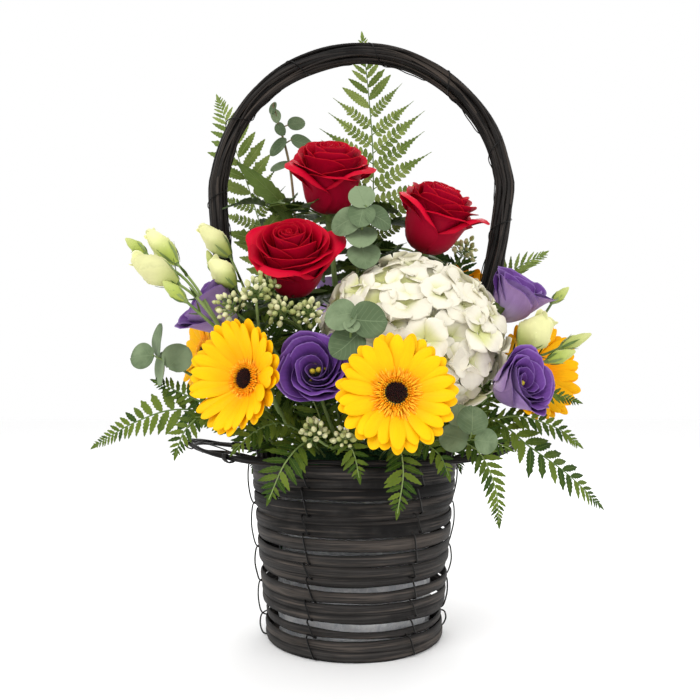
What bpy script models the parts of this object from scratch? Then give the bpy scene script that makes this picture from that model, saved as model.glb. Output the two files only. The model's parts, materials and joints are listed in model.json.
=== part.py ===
"""Flower basket arrangement: a black splint basket with an arched handle, filled with cut flowers.

Every sub-part is one named object of one closed body. Sizes below are in millimetres and MM turns
them into metres. +Z is up, -Y is the front, and the origin is the centre of the base underside.
"""
import math

import bmesh
import bpy
from mathutils import Vector

MM = 0.001
MERGE_DISTANCE = 0.00001

# Basket wall: a cone that carries horizontal splint hoops.
BODY_HEIGHT = 137.0
BASE_RADIUS = 68.5
RIM_RADIUS = 80.0
SPLINT = 1.6
LAYER_GAP = 0.4
HOOP_SEGMENTS = 28
OUTER_HOOPS = {
    "hoop_rim": (114.2, 137.0),
    "hoop_2": (103.4, 113.4),
    "hoop_3": (89.4, 98.4),
    "hoop_4": (79.4, 88.6),
    "hoop_5": (69.2, 77.4),
    "hoop_6": (60.4, 68.4),
    "hoop_7": (43.0, 51.6),
    "hoop_8": (28.6, 42.2),
    "hoop_base": (0.0, 15.6),
}
INNER_HOOPS = {
    "inner_hoop_upper": (94.0, 107.0),
    "inner_hoop_middle": (54.0, 66.0),
    "inner_hoop_lower": (17.5, 31.0),
}
BASE_THICKNESS = 4.0

# Wire lacing: columns that tie the hoops together.
LACING_COLUMNS = 6
LACING_FIRST_ANGLE = -57.0
LACING_RADIUS = 0.6
LACING_SWING = 3.0
LACING_LOW = 3.0
LACING_HIGH = 131.0

# Brim: an oval hoop, raised at its two ends, held by splints that fan out from the rim.
BRIM_HALF_LENGTH = 128.0
BRIM_HALF_WIDTH = 78.5
BRIM_LOW = 141.0
BRIM_RISE = 8.0
BRIM_RADIUS = 3.4
BRIM_POINTS = 36
BRIM_SPLINT_ANGLES = (-42.0, -16.0, 16.0, 42.0)
BRIM_SPLINT_RADIUS = 1.7
BRIM_SPLINT_RISE = 3.3

# Handle: a round arch whose legs lean in to stand inside the rim.
ARCH_RADIUS = 113.0
ARCH_CENTRE_X = 5.5
ARCH_CENTRE_Z = 341.5
HANDLE_RADIUS = 7.4
HANDLE_LEG = ((68.5, 118.0), (69.0, 138.0), (75.5, 165.0), (91.0, 225.0), (105.0, 285.0))
ARCH_STEPS = 18
BINDING_RADIUS = 0.6
BINDING_PITCH = 58.0
BINDING_STEPS = 6

# Liner and floral foam.
LINER_RADIUS_TOP = 60.6
LINER_RADIUS_BASE = 59.6
LINER_WALL = 0.8
LINER_TOP = 134.0
LINER_BOTTOM = 4.4
FOAM_RADIUS = 57.6
FOAM_BOTTOM = 5.6
FOAM_TOP = 148.0
FOAM_CHAMFER = 12.0
HOLE_CLEARANCE = 0.4
HOLE_SIDES = 6

NECK_LENGTH = 6.0

# Bloom profiles: distance along the bloom's axis from its centre, and radius there.
ROSE = ((-31, 5), (-28, 13), (-19, 24), (-5, 31), (8, 35), (17, 35), (24, 27), (29, 14))
GERBERA = ((-13, 3), (-12, 9), (-6, 22), (-2, 38), (1, 39), (2.5, 24), (4, 12))
LISIANTHUS = ((-26, 3), (-22, 8), (-11, 15), (1, 20), (8, 22.5), (10, 19), (9.5, 8))
HYDRANGEA = ((-34, 12), (-27, 38), (-15, 56), (-2, 64), (12, 63), (24, 53), (34, 37), (40, 16))
BUD = ((0, 2.0), (3, 4.6), (9, 6.2), (16, 5.4), (22, 3.0), (26, 0.8))
SMALL_BUD = ((0, 1.6), (3, 3.2), (8, 4.0), (13, 2.8), (17, 0.7))
CLUSTER = ((0, 2.0), (3, 7.0), (9, 9.6), (15, 8.6), (19, 3.0))
SMALL_CLUSTER = ((0, 1.6), (3, 5.4), (7, 6.6), (12, 5.4), (15, 2.0))

WOOD = ("splint_black", (0.022, 0.019, 0.018, 1.0), 0.55, 0.0)
WIRE = ("lacing_wire", (0.012, 0.012, 0.012, 1.0), 0.45, 0.6)
VINE = ("vine_black", (0.016, 0.015, 0.014, 1.0), 0.6, 0.0)
FILM = ("liner_film", (0.75, 0.77, 0.8, 1.0), 0.2, 0.0)
FOAM = ("floral_foam", (0.05, 0.16, 0.07, 1.0), 0.95, 0.0)
RED = ("rose_red", (0.42, 0.0, 0.01, 1.0), 0.5, 0.0)
YELLOW = ("gerbera_yellow", (0.95, 0.6, 0.01, 1.0), 0.5, 0.0)
PURPLE = ("lisianthus_purple", (0.12, 0.04, 0.3, 1.0), 0.5, 0.0)
WHITE = ("hydrangea_white", (0.85, 0.84, 0.74, 1.0), 0.6, 0.0)
CREAM = ("bud_cream", (0.7, 0.74, 0.4, 1.0), 0.5, 0.0)
BEAD = ("skimmia_bead", (0.55, 0.6, 0.3, 1.0), 0.5, 0.0)
SILVER_GREEN = ("eucalyptus_leaf", (0.17, 0.29, 0.19, 1.0), 0.6, 0.0)
GREEN = ("fern_leaf", (0.1, 0.24, 0.06, 1.0), 0.5, 0.0)
LEAF_THICKNESS = 1.0


def new_collection(name):
    """Make a collection in the scene."""
    collection = bpy.data.collections.new(name)
    bpy.context.scene.collection.children.link(collection)
    return collection


def material(spec):
    """Give the Principled material of a finish, made once."""
    name, colour, roughness, metallic = spec
    existing = bpy.data.materials.get(name)
    if existing:
        return existing
    made = bpy.data.materials.new(name)
    made.use_nodes = True
    shader = made.node_tree.nodes["Principled BSDF"]
    shader.inputs["Base Color"].default_value = colour
    shader.inputs["Roughness"].default_value = roughness
    shader.inputs["Metallic"].default_value = metallic
    return made


def place(name, data, spec, collection):
    """Link new object data under a name, with its material."""
    obj = bpy.data.objects.new(name, data)
    data.materials.append(material(spec))
    collection.objects.link(obj)
    return obj


def smooth_route(points, steps):
    """Points of a Catmull-Rom curve through the given ones, as vectors in millimetres."""
    knots = [Vector(p) for p in points]
    if len(knots) == 2:
        return [knots[0].lerp(knots[1], i / steps) for i in range(steps + 1)]
    ends = [knots[0] * 2 - knots[1]] + knots + [knots[-1] * 2 - knots[-2]]
    route = []
    for a, b, c, d in zip(ends, ends[1:], ends[2:], ends[3:]):
        for step in range(steps):
            t = step / steps
            route.append(0.5 * (2 * b + (c - a) * t + (2 * a - 5 * b + 4 * c - d) * t ** 2
                                + (3 * b - a - 3 * c + d) * t ** 3))
    route.append(knots[-1])
    return route


def sweep(name, stations, sides, spec, collection):
    """A closed round body along stations of (point, radius)."""
    curve = bpy.data.curves.new(name, "CURVE")
    curve.dimensions = "3D"
    curve.bevel_depth = MM
    curve.bevel_resolution = (sides - 4) // 2
    curve.use_fill_caps = True
    spline = curve.splines.new("POLY")
    spline.points.add(len(stations) - 1)
    for knot, (point, radius) in zip(spline.points, stations):
        knot.co = (point.x * MM, point.y * MM, point.z * MM, 1.0)
        knot.radius = radius
    return place(name, curve, spec, collection)


def as_mesh(obj):
    """Turn a curve object into a welded mesh object of the same name."""
    evaluated = obj.evaluated_get(bpy.context.evaluated_depsgraph_get())
    mesh = bpy.data.meshes.new_from_object(evaluated)
    shape = bmesh.new()
    shape.from_mesh(mesh)
    bmesh.ops.remove_doubles(shape, verts=shape.verts, dist=MERGE_DISTANCE)
    shape.to_mesh(mesh)
    shape.free()
    name = obj.name
    matrix = obj.matrix_world.copy()
    collection = obj.users_collection[0]
    bpy.data.objects.remove(obj)
    made = bpy.data.objects.new(name, mesh)
    made.matrix_world = matrix
    collection.objects.link(made)
    return made


def combine(target, other, operation):
    """Join to or cut from the target with a Boolean, and hide the other shape."""
    other.hide_render = True
    other.display_type = "WIRE"
    modifier = target.modifiers.new(f"{operation.lower()} {other.name}", "BOOLEAN")
    modifier.operation = operation
    modifier.solver = "EXACT"
    modifier.object = other


def turned(name, profile, segments, closed, spec, collection):
    """Turn a profile of (radius, height) about the Z axis."""
    mesh = bpy.data.meshes.new(name)
    verts = [(radius * MM, 0.0, height * MM) for radius, height in profile]
    edges = [(i, i + 1) for i in range(len(verts) - 1)]
    if closed:
        edges.append((len(verts) - 1, 0))
    mesh.from_pydata(verts, edges, [])
    obj = place(name, mesh, spec, collection)
    screw = obj.modifiers.new("turn", "SCREW")
    screw.steps = segments
    screw.render_steps = segments
    screw.use_merge_vertices = True
    screw.merge_threshold = MERGE_DISTANCE
    screw.use_smooth_shade = True
    return obj


def wall_radius(height):
    """Outer radius of the basket wall at a height."""
    return BASE_RADIUS + (RIM_RADIUS - BASE_RADIUS) * height / BODY_HEIGHT


def hoop(name, low, high, inset, parts):
    """One splint hoop, a tapered ring."""
    outer_top = wall_radius(high) - inset
    outer_low = wall_radius(low) - inset
    profile = ((outer_top, high), (outer_low, low), (outer_low - SPLINT, low), (outer_top - SPLINT, high))
    return turned(name, profile, HOOP_SEGMENTS, True, WOOD, parts)


def base_board(parts):
    """The round bottom board."""
    mesh = bpy.data.meshes.new("base_board")
    radius = (wall_radius(0) - SPLINT - LAYER_GAP) * MM
    shape = bmesh.new()
    bmesh.ops.create_cone(shape, cap_ends=True, segments=HOOP_SEGMENTS, radius1=radius, radius2=radius,
                          depth=BASE_THICKNESS * MM)
    shape.to_mesh(mesh)
    shape.free()
    board = place("base_board", mesh, WOOD, parts)
    board.location.z = BASE_THICKNESS * MM / 2


def lacing(parts):
    """Columns of wire that zigzag up over the outer hoops."""
    heights = [LACING_LOW] + [0.5 * sum(edges) for edges in sorted(OUTER_HOOPS.values())][1:] + [LACING_HIGH]
    facet = math.cos(math.pi / HOOP_SEGMENTS)
    for column in range(LACING_COLUMNS):
        angle = math.radians(LACING_FIRST_ANGLE + 360.0 * column / LACING_COLUMNS)
        stations = []
        for count, height in enumerate(heights):
            radius = wall_radius(height) / facet + LACING_RADIUS + LAYER_GAP
            swing = LACING_SWING * (-1) ** count / radius
            direction = Vector((math.cos(angle + swing), math.sin(angle + swing), 0.0))
            stations.append((direction * radius + Vector((0, 0, height)), LACING_RADIUS))
        sweep(f"lacing_{column + 1}", stations, 6, WIRE, parts)


def brim_point(angle):
    """A point on the middle line of the brim hoop."""
    cosine = math.cos(angle)
    return Vector((BRIM_HALF_LENGTH * cosine, BRIM_HALF_WIDTH * math.sin(angle),
                   BRIM_LOW + BRIM_RISE * cosine ** 4))


def brim(parts, cutters):
    """The oval hoop with the splints that carry its two ends."""
    ring = sweep("brim", [(brim_point(math.tau * i / BRIM_POINTS), BRIM_RADIUS) for i in range(BRIM_POINTS)],
                 8, VINE, parts)
    ring.data.splines[0].use_cyclic_u = True
    ring = as_mesh(ring)
    for side in (0.0, 180.0):
        for offset in BRIM_SPLINT_ANGLES:
            angle = math.radians(side + offset)
            start = Vector((math.cos(angle), math.sin(angle), 0.0)) * (RIM_RADIUS - SPLINT)
            start.z = BODY_HEIGHT + BRIM_SPLINT_RISE
            end = brim_point(angle)
            splint = sweep(f"brim_splint_{int(side + offset)}",
                           [(start, BRIM_SPLINT_RADIUS), (end, BRIM_SPLINT_RADIUS)], 6, VINE, cutters)
            combine(ring, as_mesh(splint), "UNION")


def handle_route():
    """Middle line of the handle, from the left foot over the arch to the right foot."""
    arch = []
    for step in range(ARCH_STEPS + 1):
        angle = math.pi * (1 - step / ARCH_STEPS)
        arch.append((ARCH_CENTRE_X + ARCH_RADIUS * math.cos(angle), 0.0,
                     ARCH_CENTRE_Z + ARCH_RADIUS * math.sin(angle)))
    foot = HANDLE_LEG[0][1]
    legs = []
    for side in (-1, 1):
        legs.append([(side * x + ARCH_CENTRE_X * (z - foot) / (ARCH_CENTRE_Z - foot), 0.0, z)
                     for x, z in HANDLE_LEG])
    return smooth_route(legs[0] + arch + legs[1][::-1], 1)


def handle(parts):
    """The arched handle and the wire wound round it."""
    route = handle_route()
    sweep("handle", [(point, HANDLE_RADIUS) for point in route], 10, VINE, parts)
    coil_radius = (HANDLE_RADIUS + LAYER_GAP + BINDING_RADIUS) / math.cos(math.pi / BINDING_STEPS)
    inner = route[1:-1]
    travelled = 0.0
    stations = []
    spacing = BINDING_PITCH / BINDING_STEPS
    for start, end in zip(inner, inner[1:]):
        length = (end - start).length
        while travelled < length:
            along = (end - start).normalized()
            across = Vector((along.z, 0.0, -along.x))
            turn = math.tau * len(stations) / BINDING_STEPS
            offset = across * math.cos(turn) + Vector((0.0, 1.0, 0.0)) * math.sin(turn)
            stations.append((start + along * travelled + offset * coil_radius, BINDING_RADIUS))
            travelled += spacing
        travelled -= length
    sweep("handle_binding", stations, 4, WIRE, parts)


def liner(parts):
    """The clear cup that keeps the foam's water in."""
    profile = (
        (0.0, LINER_BOTTOM + LINER_WALL),
        (LINER_RADIUS_BASE - LINER_WALL, LINER_BOTTOM + LINER_WALL),
        (LINER_RADIUS_TOP - LINER_WALL, LINER_TOP),
        (LINER_RADIUS_TOP, LINER_TOP),
        (LINER_RADIUS_BASE, LINER_BOTTOM),
        (0.0, LINER_BOTTOM),
    )
    turned("liner", profile, HOOP_SEGMENTS, False, FILM, parts)


def foam_block(parts):
    """The block of floral foam, still without its stem holes."""
    profile = (
        (0.0, FOAM_TOP),
        (FOAM_RADIUS - FOAM_CHAMFER, FOAM_TOP),
        (FOAM_RADIUS, FOAM_TOP - FOAM_CHAMFER),
        (FOAM_RADIUS, FOAM_BOTTOM),
        (0.0, FOAM_BOTTOM),
    )
    return turned("foam", profile, HOOP_SEGMENTS, False, FOAM, parts)


class Planting:
    """Plants set into one foam block: each method adds a plant as one object and cuts its hole."""

    def __init__(self, parts, cutters):
        """Start with a whole foam block."""
        self.parts = parts
        self.cutters = cutters
        self.foam = foam_block(parts)

    def hole(self, name, route, radius):
        """Cut the hole that a stem stands in: it follows the stem's route until it is out of the foam."""
        count = next(i for i, point in enumerate(route)
                     if point.z > FOAM_TOP or math.hypot(point.x, point.y) > FOAM_RADIUS + 2 * radius)
        path = [route[0] - (route[1] - route[0]).normalized()] + route[1:count + 1]
        width = (radius + HOLE_CLEARANCE) / math.cos(math.pi / HOLE_SIDES)
        cutter = sweep(f"hole_{name}", [(point, width) for point in path], HOLE_SIDES, FOAM, self.cutters)
        combine(self.foam, as_mesh(cutter), "DIFFERENCE")

    def bloom(self, name, profile, centre, facing, stem, radius, sides, spec, scale=1.0):
        """A flower head on its stem: stem points run from the buried end to the neck."""
        centre = Vector(centre)
        axis = Vector(facing).normalized()
        head = [(centre + axis * along * scale, width * scale) for along, width in profile]
        neck = head[0][0] - axis * NECK_LENGTH
        route = smooth_route(list(stem) + [tuple(neck)], 2)
        stations = [(point, radius) for point in route] + head
        sweep(name, stations, sides, spec, self.parts)
        self.hole(name, route, radius)

    def spray(self, name, stem, branches, radius, spec):
        """A stem with side branches that each end in a swelling: (fork, bend points, base, tip, profile)."""
        route = smooth_route(stem, 2)
        trunk = as_mesh(sweep(name, [(point, radius) for point in route], 6, spec, self.parts))
        for number, (points, tip, profile) in enumerate(branches):
            base = Vector(points[-1])
            axis = (Vector(tip) - base).normalized()
            scale = (Vector(tip) - base).length / profile[-1][0]
            twig = [(Vector(point), radius * 0.75) for point in points[:-1]]
            head = [(base + axis * along * scale, width * scale ** 0.5) for along, width in profile]
            twig = sweep(f"{name}_branch_{number + 1}", twig + head, 8, spec, self.cutters)
            combine(trunk, as_mesh(twig), "UNION")
        self.hole(name, route, radius)

    def leafy(self, name, stem, leaves, radius, spec):
        """A stem with round leaves: (centre, facing, radius)."""
        route = smooth_route(stem, 2)
        trunk = as_mesh(sweep(name, [(point, radius) for point in route], 6, spec, self.parts))
        for number, (centre, facing, size) in enumerate(leaves):
            centre = Vector(centre)
            axis = Vector(facing).normalized() * LEAF_THICKNESS
            disc = sweep(f"{name}_leaf_{number + 1}", [(centre - axis, size), (centre + axis, size)], 12,
                         spec, self.cutters)
            fork = min(route, key=lambda point: (point - centre).length)
            if (fork - centre).length > radius:
                stalk = sweep(f"{name}_stalk_{number + 1}", [(fork, radius), (centre, radius)], 6, spec,
                              self.cutters)
                combine(trunk, as_mesh(stalk), "UNION")
            combine(trunk, as_mesh(disc), "UNION")
        self.hole(name, route, radius)

    def blade(self, name, middle, widths, facing, spec=GREEN, collection=None):
        """A flat frond or leaf along a middle line, with its half-width at each point."""
        route = smooth_route(middle, 1)
        verts = []
        for index, (point, width) in enumerate(zip(route, widths)):
            before = route[max(index - 1, 0)]
            after = route[min(index + 1, len(route) - 1)]
            side = (after - before).cross(Vector(facing)).normalized() * width
            verts += [(point - side) * MM, (point + side) * MM]
        count = len(route)
        faces = [(2 * i, 2 * i + 1, 2 * i + 3, 2 * i + 2) for i in range(count - 1)]
        mesh = bpy.data.meshes.new(name)
        mesh.from_pydata(verts, [], faces)
        obj = place(name, mesh, spec, collection or self.parts)
        solid = obj.modifiers.new("thickness", "SOLIDIFY")
        solid.thickness = 2 * LEAF_THICKNESS * MM
        solid.offset = 0.0
        return obj

    def frond(self, name, middle, widths, facing, pinnae=()):
        """A frond that stands in the foam, with any side blades joined to it."""
        obj = self.blade(name, middle, widths, facing)
        for number, (side_middle, side_widths, side_facing) in enumerate(pinnae):
            side = self.blade(f"{name}_side_{number + 1}", side_middle, side_widths, side_facing, GREEN,
                              self.cutters)
            combine(obj, side, "UNION")
        self.hole(name, [Vector(point) for point in middle], widths[0] + 0.8)


def roses(planting):
    """Three roses."""
    planting.bloom("rose_top", ROSE, (-19, -6, 356), (0.05, -0.55, 0.83),
                   ((-2, 6, 108), (-4, 8, 149), (-12, 16, 240), (-18, 16, 308)), 2.6, 12, RED)
    planting.bloom("rose_left", ROSE, (-45, -43, 284), (-0.05, -0.72, 0.69),
                   ((-12, -8, 108), (-16, -10, 149), (-30, -14, 200), (-42, -14, 240)), 2.6, 12, RED)
    planting.bloom("rose_right", ROSE, (63, -10, 323), (0.32, -0.42, 0.85),
                   ((14, 6, 108), (18, 8, 149), (36, 20, 220), (50, 14, 275)), 2.6, 12, RED)


def gerberas(planting):
    """Five gerberas, two of them at the back."""
    planting.bloom("gerbera_front", GERBERA, (26, -109, 186), (0.02, -0.98, 0.2),
                   ((8, -26, 112), (12, -46, 146), (21, -72, 164)), 2.0, 12, YELLOW)
    planting.bloom("gerbera_left", GERBERA, (-73, -84, 196), (-0.55, -0.82, 0.12),
                   ((-22, -18, 112), (-36, -32, 146), (-52, -52, 172)), 2.0, 12, YELLOW)
    planting.bloom("gerbera_right", GERBERA, (142, -6, 203), (0.45, -0.87, 0.12),
                   ((30, 6, 112), (46, 14, 146), (92, 22, 176)), 2.0, 12, YELLOW)
    planting.bloom("gerbera_left_rear", GERBERA, (-130, -1, 219), (-0.79, -0.58, 0.14),
                   ((-28, 12, 112), (-46, 16, 146), (-84, 18, 184)), 2.0, 12, YELLOW, 0.86)
    planting.bloom("gerbera_right_rear", GERBERA, (92, 66, 276), (0.5, 0.72, 0.48),
                   ((18, 22, 108), (24, 28, 149), (54, 42, 220)), 2.0, 12, YELLOW)


def lisianthus(planting):
    """Five open lisianthus."""
    planting.bloom("lisianthus_front", LISIANTHUS, (-29, -75, 203), (-0.05, -0.95, 0.3),
                   ((-6, -22, 112), (-12, -36, 149), (-22, -46, 178)), 1.6, 12, PURPLE)
    planting.bloom("lisianthus_left", LISIANTHUS, (-108, -38, 249), (-0.75, -0.3, 0.58),
                   ((-26, -8, 112), (-38, -14, 149), (-66, -22, 206)), 1.6, 12, PURPLE, 0.92)
    planting.bloom("lisianthus_right_upper", LISIANTHUS, (124, -24, 259), (0.42, -0.42, 0.8),
                   ((24, 16, 112), (34, 24, 149), (98, 22, 206), (113, 6, 226)), 1.6, 12, PURPLE, 0.92)
    planting.bloom("lisianthus_right_lower", LISIANTHUS, (119, -62, 194), (0.62, -0.74, 0.26),
                   ((24, -18, 112), (40, -26, 146), (78, -38, 166)), 1.6, 12, PURPLE)
    planting.bloom("lisianthus_rear", LISIANTHUS, (-14, 76, 262), (-0.1, 0.75, 0.6),
                   ((-8, 24, 108), (-10, 32, 149), (-12, 42, 220)), 1.6, 12, PURPLE)


def hydrangea(planting):
    """One big mophead."""
    planting.bloom("hydrangea", HYDRANGEA, (47, -45, 231), (0.08, -0.93, 0.36),
                   ((20, -6, 108), (24, -8, 149), (34, -4, 184)), 3.2, 16, WHITE)


def buds(planting):
    """Sprays of lisianthus buds."""
    planting.spray(
        "buds_left", ((-34, -24, 112), (-46, -32, 144), (-74, -56, 196), (-91, -66, 230)),
        ((((-85.9, -62.9, 219.7), (-112, -67, 260), (-130, -63, 275), (-146, -60, 284)), (-159, -60, 294), SMALL_BUD),
         (((-87.6, -63.9, 223.2), (-106, -66, 255), (-120, -61, 273), (-125, -57, 278)), (-146, -50, 301), BUD),
         (((-91, -66, 230), (-107, -72, 251), (-121, -71, 262)), (-150, -70, 277), BUD),
         (((-89.3, -65, 226.6), (-104, -76, 240), (-114, -78, 249)), (-128, -78, 260), SMALL_BUD)),
        1.3, CREAM)
    planting.spray(
        "buds_left_inner", ((-22, -1, 112), (-30, -2, 149), (-60, -14, 212), (-76, -26, 250)),
        ((((-76, -26, 250), (-84, -26, 270), (-93, -26, 290)), (-114, -26, 311), BUD),
         (((-76, -26, 250), (-79, -40, 252), (-85, -52, 263)), (-100, -56, 278), BUD),
         (((-76, -26, 250), (-90, -22, 262), (-103, -19, 275)), (-110, -21, 292), SMALL_BUD)),
        1.3, CREAM)
    planting.spray(
        "buds_right", ((32, -10, 112), (46, -14, 147), (94, -26, 190), (114, -34, 214)),
        ((((114, -34, 214), (116, -38, 216), (120, -43, 219)), (140, -46, 239), BUD),
         (((114, -34, 214), (134, -39, 214), (150, -42, 220)), (171, -42, 229), SMALL_BUD),
         (((114, -34, 214), (128, -42, 209), (139, -46, 210)), (157, -50, 217), SMALL_BUD),
         (((114, -34, 214), (132, -32, 232), (148, -28, 255)), (159, -28, 265), SMALL_BUD)),
        1.3, CREAM)


def skimmia(planting):
    """Sprigs with clusters of small round buds."""
    planting.spray(
        "skimmia_left", ((-16, -18, 112), (-24, -26, 149), (-50, -48, 206), (-66, -66, 232)),
        ((((-66, -66, 232), (-74, -68, 236), (-80, -70, 241)), (-93, -72, 252), SMALL_CLUSTER),
         (((-66, -66, 232), (-66, -74, 240), (-66, -80, 248)), (-67, -84, 266), SMALL_CLUSTER)),
        1.2, BEAD)
    planting.spray(
        "skimmia_middle", ((-4, -12, 112), (-6, -20, 149), (-22, -34, 200), (-34, -46, 227)),
        ((((-33, -45, 225), (-41, -60, 234), (-47, -70, 238)), (-57, -79, 250), CLUSTER),
         (((-34, -46, 227), (-33, -62, 235), (-32, -74, 237)), (-31, -86, 247), CLUSTER)),
        1.2, BEAD)
    planting.spray(
        "skimmia_front", ((-2, -36, 118), (-2, -54, 143), (-4, -72, 150)),
        ((((-2, -62, 147), (-16, -76, 150), (-25, -84, 156)), (-30, -90, 170), SMALL_CLUSTER),
         (((-4, -72, 150), (-6, -78, 151), (-7, -83, 153)), (-8, -89, 163), SMALL_CLUSTER)),
        1.2, BEAD)
    planting.spray(
        "skimmia_rear", ((8, 20, 108), (10, 26, 149), (44, 40, 240), (76, 30, 284)),
        ((((76, 30, 284), (82, 26, 292), (88, 22, 299)), (96, 18, 314), SMALL_CLUSTER),
         (((60, 36, 264), (58, 50, 282), (54, 58, 292)), (52, 64, 308), CLUSTER)),
        1.2, BEAD)


def eucalyptus(planting):
    """Sprigs of round eucalyptus leaves."""
    planting.leafy(
        "eucalyptus_centre", ((4, -4, 108), (4, -5, 149), (0, 6, 230), (3, -12, 284), (5, -44, 298),
                              (6, -50, 322)),
        (((5, -54, 326), (0, -0.8, 0.6), 9), ((-3, -54, 311), (-0.4, -0.9, 0.1), 8),
         ((15, -54, 312), (0.5, -0.8, 0.3), 10), ((6, -56, 299), (0, -0.6, 0.8), 12),
         ((6, -52, 286), (0, -0.9, -0.3), 9)),
        1.2, SILVER_GREEN)
    planting.leafy(
        "eucalyptus_front", ((2, -30, 114), (2, -42, 149), (-4, -66, 180), (-3, -94, 208), (-2, -99, 236)),
        (((-9, -101, 238), (-0.3, -0.9, 0.3), 9), ((7, -101, 232), (0.3, -0.95, 0.2), 11),
         ((-7, -99, 221), (-0.2, -0.9, 0.4), 10)),
        1.2, SILVER_GREEN)
    planting.leafy(
        "eucalyptus_left", ((-36, 0, 116), (-53, -8, 142), (-100, -22, 186), (-134, -32, 208),
                            (-146, -34, 214)),
        (((-156, -35, 214), (-0.3, -0.9, 0.2), 10), ((-143, -34, 216), (-0.9, -0.2, 0.4), 10),
         ((-130, -34, 213), (0.3, -0.9, 0.2), 11)),
        1.2, SILVER_GREEN)
    planting.leafy(
        "eucalyptus_right", ((22, -32, 116), (35, -42, 142), (60, -70, 152), (76, -88, 156)),
        (((76, -91, 168), (0, -0.9, 0.4), 11), ((86, -92, 154), (0.3, -0.9, 0), 10),
         ((65, -84, 158), (-0.3, -0.9, 0.3), 9)),
        1.2, SILVER_GREEN)
    planting.leafy(
        "eucalyptus_rear", ((-12, 14, 108), (-18, 20, 149), (-44, 34, 280), (-52, 28, 370), (-66, 24, 424)),
        (((-60, 26, 390), (-0.5, -0.8, 0.2), 8), ((-43, 26, 392), (0.5, -0.8, 0.3), 8),
         ((-58, 26, 376), (-0.2, -0.7, 0.7), 7), ((-50, 25, 406), (0.4, -0.9, 0), 8),
         ((-67, 24, 424), (0, -0.9, 0.2), 6)),
        1.0, SILVER_GREEN)


def foliage(planting):
    """Leatherleaf fern fronds and a broad leaf."""
    planting.frond("fern_top",
                   ((4, 18, 110), (5, 20, 149), (10, 36, 260), (16, 40, 340), (16, 34, 390), (12, 24, 435),
                    (8, 17, 473)),
                   (1.2, 1.2, 3, 44, 34, 17, 2), (0, -1, 0))
    planting.frond("fern_top_left",
                   ((-20, 16, 110), (-26, 24, 149), (-58, 30, 260), (-78, 24, 330), (-94, 20, 380),
                    (-110, 18, 426)),
                   (1.2, 1.2, 3, 22, 20, 2), (0, -1, 0))
    planting.frond("fern_left",
                   ((-38, -14, 120), (-54, -19, 143), (-92, -28, 168), (-131, -30, 175), (-165, -24, 165),
                    (-199, -18, 147)),
                   (1.2, 1.2, 4, 19, 16, 2), (0, -0.95, 0.3),
                   ((((-92, -28, 167), (-108, -42, 172), (-121, -50, 160), (-127, -52, 143)),
                     (3, 9, 9, 2), (0, -0.9, 0.4)),))
    planting.frond("fern_front_left",
                   ((-14, -32, 122), (-22, -50, 143), (-33, -74, 153), (-46, -88, 140), (-56, -93, 117)),
                   (1.2, 1.2, 9, 12, 2), (0, -0.8, 0.6))
    planting.frond("fern_front",
                   ((14, -34, 120), (19, -53, 142), (29, -78, 151), (32, -90, 134), (28, -93, 106)),
                   (1.2, 1.2, 11, 11, 2), (0, -0.8, 0.6))
    planting.frond("fern_front_right",
                   ((30, -24, 122), (45, -36, 143), (64, -56, 155), (84, -72, 147), (95, -76, 124),
                    (98, -76, 97)),
                   (1.2, 1.2, 8, 10, 9, 2), (0.2, -0.8, 0.6))
    planting.frond("fern_right",
                   ((38, -4, 122), (55, -10, 143), (88, -22, 166), (110, -32, 163), (127, -37, 149),
                    (156, -37, 128), (183, -33, 103)),
                   (1.2, 1.2, 4, 9, 16, 15, 2), (0, -0.4, 0.9))
    planting.frond("fern_rear_left",
                   ((-22, 26, 112), (-28, 34, 148), (-50, 54, 196), (-76, 68, 240), (-98, 76, 280)),
                   (1.2, 1.2, 18, 27, 2), (-0.4, 0.85, 0.3),
                   ((((-36, 42, 165), (-60, 68, 168), (-80, 84, 152), (-92, 92, 116)),
                     (2, 12, 15, 2), (-0.2, 0.7, 0.7)),
                    (((-30, 36, 154), (-24, 60, 172), (-18, 84, 158), (-16, 95, 118)),
                     (2, 10, 13, 2), (0, 0.7, 0.7))))
    planting.frond("fern_rear_right",
                   ((26, 34, 112), (33, 42, 148), (48, 64, 186), (58, 84, 208), (64, 97, 218)),
                   (1.2, 1.2, 14, 16, 2), (0.3, 0.75, -0.6),
                   ((((39, 50, 162), (62, 70, 168), (84, 84, 152), (98, 92, 116)),
                     (2, 12, 15, 2), (0.2, 0.7, 0.7)),
                    (((34, 43, 152), (28, 64, 170), (24, 85, 156), (22, 96, 120)),
                     (2, 10, 13, 2), (0, 0.7, 0.7)),
                    (((38, 50, 161), (92, 40, 214), (124, 18, 280), (152, 10, 299)),
                     (2, 4, 11, 2), (0, -1, 0.2))))
    planting.frond("leaf_left",
                   ((-26, 6, 108), (-34, 8, 149), (-46, 12, 260), (-50, 10, 322), (-68, 7, 348), (-91, 5, 369)),
                   (1.2, 1.2, 2, 12, 12, 1), (0.2, -0.9, 0.3))


def main():
    """Build the whole arrangement."""
    for obj in list(bpy.data.objects):
        bpy.data.objects.remove(obj)
    parts = new_collection("flower basket arrangement")
    cutters = new_collection("cutters")
    base_board(parts)
    for name, (low, high) in OUTER_HOOPS.items():
        hoop(name, low, high, 0.0, parts)
    for name, (low, high) in INNER_HOOPS.items():
        hoop(name, low, high, SPLINT + LAYER_GAP, parts)
    lacing(parts)
    brim(parts, cutters)
    handle(parts)
    liner(parts)
    planting = Planting(parts, cutters)
    for group in (roses, gerberas, lisianthus, hydrangea, buds, skimmia, eucalyptus, foliage):
        group(planting)


main()
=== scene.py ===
"""Looks of the flower basket arrangement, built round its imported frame.

Every shape is made in millimetres and turned into metres when it becomes an object. +Z is up and -Y
is the front. Each made piece stands for one node of the frame.
"""

import json
import logging
import math
import zlib
from dataclasses import dataclass, field
from enum import Enum
from functools import cached_property

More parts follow.
